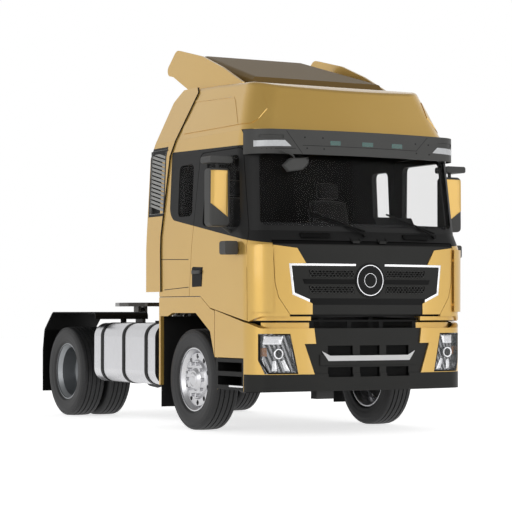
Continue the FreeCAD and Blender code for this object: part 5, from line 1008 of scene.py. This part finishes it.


# Door furniture: black handles set in the skins, and painted shade strips in the side's creases.
HANDLE = [(1.190, 1.660), (1.215, 1.466), (1.425, 1.462), (1.425, 1.655), (1.400, 1.668)]
GRASP = [(1.222, 1.630), (1.228, 1.596), (1.400, 1.594), (1.400, 1.632)]
UPPER_LINE = [(1.505, 1.745), (2.160, 1.760)]
LOWER_LINE = [(1.505, 1.462), (2.060, 1.440)]
CREASE_SHADE_WIDTH = 0.007
for side in SIDES:
    door, skin = f"door_{side}", face_of(side, f"door_{side}")
    laid(f"door_handle_{side}", [HANDLE], side, skin, 0.003, 0.010,
         black_plastic, door, 0.002, 1.0)
    laid(f"door_grasp_{side}", [GRASP], side, skin, 0.024, 0.020,
         grey_plastic, door, 0.005, 1.0)
    # Dark strips along the pressed lines: painted shade in the creases and grooves.
    laid(f"side_crease_shade_{side}", ribbon(CREASE_SHADE_WIDTH, UPPER_LINE, LOWER_LINE), side,
         face_of(side, "cab_shell"), 0.0008, 0.003, seal_black, "cab", smooth=0)


# Roof panel edges: a raised painted bead round each side panel of the moulded roof.
PANEL_EDGE = [(1.960, 3.415), (0.990, 3.372), (0.900, 3.360), (0.845, 3.315), (0.625, 3.062)]
BEAD_WIDTH = 0.016
for side in SIDES:
    laid(f"roof_panel_edge_{side}", ribbon(BEAD_WIDTH, PANEL_EDGE), side,
         face_of(side, "cab_roof"), 0.004, 0.006, shell_paint, "cab", smooth=0)


# Sill strips: flat black strips along the cab's and the doors' lower edges, set from inside, that
# fill the gap above the steps: painted shade for the dark gap there.
SILL = oblong(1.495, 1.3635, 2.245, 1.425)
DOOR_SILL = oblong(1.306, 1.3635, 1.487, 1.380)
SILL_PLANE, SHADE_STRIP_THICKNESS = 1.202, 0.006
# Dark strips in the gap above the steps: painted shade where the gap shows.
for name, side in (("sill_shade_strips", "right"), ("sill_shade_strips_left", "left")):
    laid(name, [SILL], side, flat(-SILL_PLANE), 0, SHADE_STRIP_THICKNESS,
         seal_black, "cab", smooth=0)
for side in SIDES:
    laid(f"door_shade_strip_{side}", [DOOR_SILL], side, flat(-SILL_PLANE), 0, SHADE_STRIP_THICKNESS,
         seal_black, f"door_{side}", smooth=0)


# Headlamps: a dark bowl with a chromed reflector, a projector in a bright ring, amber
# turn lamp and bright fins, behind a clear cover in a black rim.
BOWL_TILE = 0.045
BOX = [(0.925, 0.975), (1.105, 0.975), (1.115, 0.895), (0.945, 0.895)]
FINS = [[(1.085, 0.640), (1.125, 0.640), (1.140, 0.760), (1.115, 0.760)],
        [(0.985, 0.630), (1.040, 0.630), (1.030, 0.735), (1.000, 0.735)],
        [(0.850, 0.630), (0.905, 0.630), (0.945, 0.735), (0.915, 0.745)]]
BLINKER = [(1.080, 0.780), (1.150, 0.780), (1.155, 0.862), (1.085, 0.862)]
RIM = [(0.873, 0.990), (0.795, 0.617), (1.090, 0.617), (1.160, 0.745), (1.163, 0.992),
       (0.873, 0.990)]
RIM_WIDTH = 0.014
INSERT_LIFT, INSERT_DEPTH = 0.004, 0.004
PROJECTOR_X, PROJECTOR_Z, PROJECTOR_RADIUS, PROJECTOR_TURNS = 0.985, 0.805, 0.037, 24
HOOP_RADIUS, HOOP_WIRE, HOOP_TURNS, WIRE_TURNS = 0.045, 0.010, 32, 8


def disc_points(x, z, radius, count):
    return [(x + radius * math.cos(math.tau * turn / count),
             z + radius * math.sin(math.tau * turn / count)) for turn in range(count)]


def hoop(name, centre, material, body):
    """A round ring of wire that faces forward."""
    shape = bmesh.new()
    rings = []
    for x, z in disc_points(0, 0, 1, HOOP_TURNS):
        rings.append([shape.verts.new(centre + Vector((reach * x, behind, reach * z)))
                      for reach, behind in disc_points(HOOP_RADIUS, 0, HOOP_WIRE, WIRE_TURNS)])
    skinned(shape, rings)
    bmesh.ops.recalc_face_normals(shape, faces=shape.faces)
    return shaped(name, shape, material, body, 1.2)


bowl, bowl_shader, bowl_place = started("lamp_bowl")
facet = (bowl_place.axis("X") + bowl_place.axis("Z") * 0.4).wave(BOWL_TILE) > 0.55
set_inputs(bowl_shader, Base_Color=facet.mix(colour(0.16, 0.16, 0.165), colour(0.62, 0.62, 0.63)),
           Metallic=0.85, Roughness=bowl_place.noise(30) * 0.15 + 0.12)
dress(bowl, "headlamps")
chrome = bright("lamp_chrome", colour(0.92, 0.92, 0.93), 0.06)
amber = lens_material("amber_lens", colour(0.68, 0.42, 0.16), 0.008)
bowl_face, cover_face = face_of("front", "headlamps"), face_of("front", "headlamp_glass")
for side, sign in SIDES.items():
    laid(f"lamp_reflector_{side}", [on_side(outline, sign) for outline in (BOX, *FINS)], "front",
         bowl_face, INSERT_LIFT, INSERT_DEPTH, chrome, "chassis", 0.001)
    laid(f"lamp_blinker_{side}", [on_side(BLINKER, sign)], "front",
         bowl_face, INSERT_LIFT, INSERT_DEPTH, amber, "chassis", 0.001)
    middle = Vector((sign * PROJECTOR_X, 0, PROJECTOR_Z))
    middle.y = bowl_face(middle) - INSERT_LIFT
    hoop(f"lamp_ring_{side}", middle, chrome, "chassis")
    projector = disc_points(middle.x, middle.z, PROJECTOR_RADIUS, PROJECTOR_TURNS)
    laid(f"lamp_projector_{side}", [projector], "front", flat(middle.y), INSERT_LIFT,
         INSERT_DEPTH, seal_black, "chassis", 0.002)
    laid(f"lamp_rim_{side}", ribbon(RIM_WIDTH, on_side(RIM, sign)), "front", cover_face, 0.0012,
         0.004, black_plastic, "chassis", smooth=0)


# Tail lamps: red lenses with a clear and an amber stretch, and fine ribs.
CLEAR_END, AMBER_END = 0.20, 0.30
tail, tail_shader, tail_place = started("tail_lens")
outward = across(tail_place)
tail_ribs = tail_place.axis("Z").wave(0.009)
tail_tone = (outward < AMBER_END).mix(colour(0.62, 0.07, 0.06), colour(0.80, 0.45, 0.12))
tail_tone = (outward < CLEAR_END).mix(tail_tone, grey(0.85))
set_inputs(tail_shader, Base_Color=tail_tone, Roughness=tail_ribs * 0.12 + 0.14, Coat_Weight=0.6,
           Normal=tail_ribs.bump(0.4, 0.002))
dress(tail, "tail_lamps")


# Entry steps: a bright tread edge along the lowest step of each side.
STEP_EDGE, STEP_WIDTH = [(0.372, 0.482), (0.655, 0.482)], 0.016
for side in SIDES:
    laid(f"step_edge_{side}", ribbon(STEP_WIDTH, STEP_EDGE), side, face_of(side, "entry_steps"),
         0.001, 0.004, silver, "chassis", 0.001)


# Seats and bunk: foam under woven grey cloth. Cushions and backs are crowned and sewn, and
# stand on moulded bases.
WEAVE = 0.004
PAD_CUTS, PAD_ROUND = 15, 0.32
CHANNEL_HALF, CHANNEL_DEPTH = 0.16, 0.10
FLOOR_TOP = 1.442
SEAT_MIDDLE = 0.56
CUSHION = (0.248, 1.135, 1.735, 1.752, 1.878)
BACK = (0.238, 1.595, 1.725, 1.870, 2.415)
HEADREST = (0.13, 1.690, 1.780, 2.425, 2.598)
SEAT_BASE = (0.19, 1.22, 1.66, FLOOR_TOP, 1.750)
BASE_ROUND = 0.02
BUNK_MARGIN, LOCKER_TOP = 0.01, 1.838
MATTRESS_MARGIN, MATTRESS_LOW, MATTRESS_HIGH = 0.005, 1.842, 1.988
cloth, cloth_shader, cloth_place = started("seat_cloth")
weave = cloth_place.axis("X").wave(WEAVE) * cloth_place.axis("Z").wave(WEAVE)
cloth_tone = cloth_place.noise(30).mix(colour(0.12, 0.12, 0.125), colour(0.18, 0.18, 0.185))
set_inputs(cloth_shader, Base_Color=cloth_tone, Roughness=0.92, Sheen_Weight=0.2,
           Normal=(weave + cloth_place.noise(14) * 0.6).bump(0.5, 0.0015))


def pad(name, low, high, crown, channels=0, lean=0.0):
    """A crowned cushion between two corners: its sides pull in, its channels are sewn in
    along X, and its top may lean back."""
    low, high = Vector(low), Vector(high)
    centre, half = (low + high) / 2, (high - low) / 2
    shape = bmesh.new()
    bmesh.ops.create_cube(shape, size=2)
    bmesh.ops.subdivide_edges(shape, edges=shape.edges, cuts=PAD_CUTS, use_grid_fill=True)
    thin = min(range(3), key=lambda axis: half[axis])
    for vert in shape.verts:
        unit = vert.co.copy()
        ball = Vector(unit)
        for axis in range(3):
            one, two = (unit[other] ** 2 for other in range(3) if other != axis)
            ball[axis] = unit[axis] * math.sqrt(max(0, 1 - one / 2 - two / 2 + one * two / 3))
        drawn = unit.lerp(ball, PAD_ROUND)
        wide, long = (drawn[axis] for axis in range(3) if axis != thin)
        dome = (1 - wide ** 2) * (1 - long ** 2)
        drawn[thin] *= 1 - crown + crown * max(dome, 0) ** 0.5
        if channels:
            run = (unit[0] + 1) / 2 * channels
            groove = abs(run - round(run))
            if round(run) not in (0, channels) and groove < CHANNEL_HALF:
                drawn[thin] *= 1 - CHANNEL_DEPTH + CHANNEL_DEPTH * groove / CHANNEL_HALF
        place = centre + drawn * half
        place.y += lean * (place.z - low.z) / (high.z - low.z)
        vert.co = place
    bmesh.ops.recalc_face_normals(shape, faces=shape.faces)
    piece = shaped(name, shape, cloth, "cab", 3.0)
    return piece


def base(name, low, high):
    """A moulded box with rounded edges that carries cushions."""
    shape = bmesh.new()
    bmesh.ops.create_cube(shape, size=1)
    centre, size = (Vector(low) + Vector(high)) / 2, Vector(high) - Vector(low)
    for vert in shape.verts:
        vert.co = centre + vert.co * size
    bmesh.ops.bevel(shape, geom=shape.edges, offset=BASE_ROUND, segments=3, affect="EDGES",
                    profile=0.5)
    return shaped(name, shape, interior, "cab", 0.8)


def seat_box(middle, half, front, rear, bottom, top):
    """Two corners of a part of a seat, from half its width, its stations and its heights."""
    return (middle - half, FRONT + front, bottom), (middle + half, FRONT + rear, top)


for side, sign in SIDES.items():
    middle = sign * SEAT_MIDDLE
    cushion = pad(f"seat_cushion_{side}", *seat_box(middle, *CUSHION), 0.30, 3)
    pad(f"seat_back_{side}", *seat_box(middle, *BACK), 0.35, 3, 0.085)
    pad(f"seat_headrest_{side}", *seat_box(middle, *HEADREST), 0.35, 0, 0.02)
    base(f"seat_base_{side}", *seat_box(middle, *SEAT_BASE))
    if side == "left":
        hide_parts("seats")
bunk_low, bunk_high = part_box("bunk")
low_x, high_x = bunk_low[0] + BUNK_MARGIN, bunk_high[0] - BUNK_MARGIN
mattress = pad("bunk_mattress", (low_x, bunk_low[1] + MATTRESS_MARGIN, MATTRESS_LOW),
               (high_x, bunk_high[1] - MATTRESS_MARGIN, MATTRESS_HIGH), 0.22, 6)
base("bunk_locker", (low_x, bunk_low[1] + BUNK_MARGIN, FLOOR_TOP),
     (high_x, bunk_high[1] - BUNK_MARGIN, LOCKER_TOP))
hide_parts("bunk")


# Tank cap: a black moulded filler cap, screwed into the neck on top of the tank.
CAP_SIDES, CAP_RADIUS, CAP_HEIGHT = 20, 0.052, 0.04
CAP_OUT, CAP_BACK, CAP_PROUD = 0.12, 0.30, 0.010
tank_low, tank_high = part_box("fuel_tank")
cap_place = ((tank_low[0] + tank_high[0]) / 2 - CAP_OUT, tank_low[1] + CAP_BACK,
             tank_high[2] + CAP_PROUD)
studs("tank_cap", [cap_place], UPRIGHT, CAP_SIDES, CAP_RADIUS, CAP_HEIGHT,
      black_plastic, "chassis", 0.6)


# Louvre backs: dark panels set into the fairings behind their silver slats to close them, standing
# in as painted shade for the dark gaps between the slats.
BACK_PLANE, BACK_MARGIN, BACK_THICKNESS = 1.205, 0.045, 0.004
low, high, bottom, top = LOUVRE
louvre_back = oblong(low - BACK_MARGIN, bottom - BACK_MARGIN, high + BACK_MARGIN, top)
for side in SIDES:
    laid(f"louvre_back_{side}", [louvre_back], side, flat(-BACK_PLANE), 0, BACK_THICKNESS,
         seal_black, "cab", smooth=0)
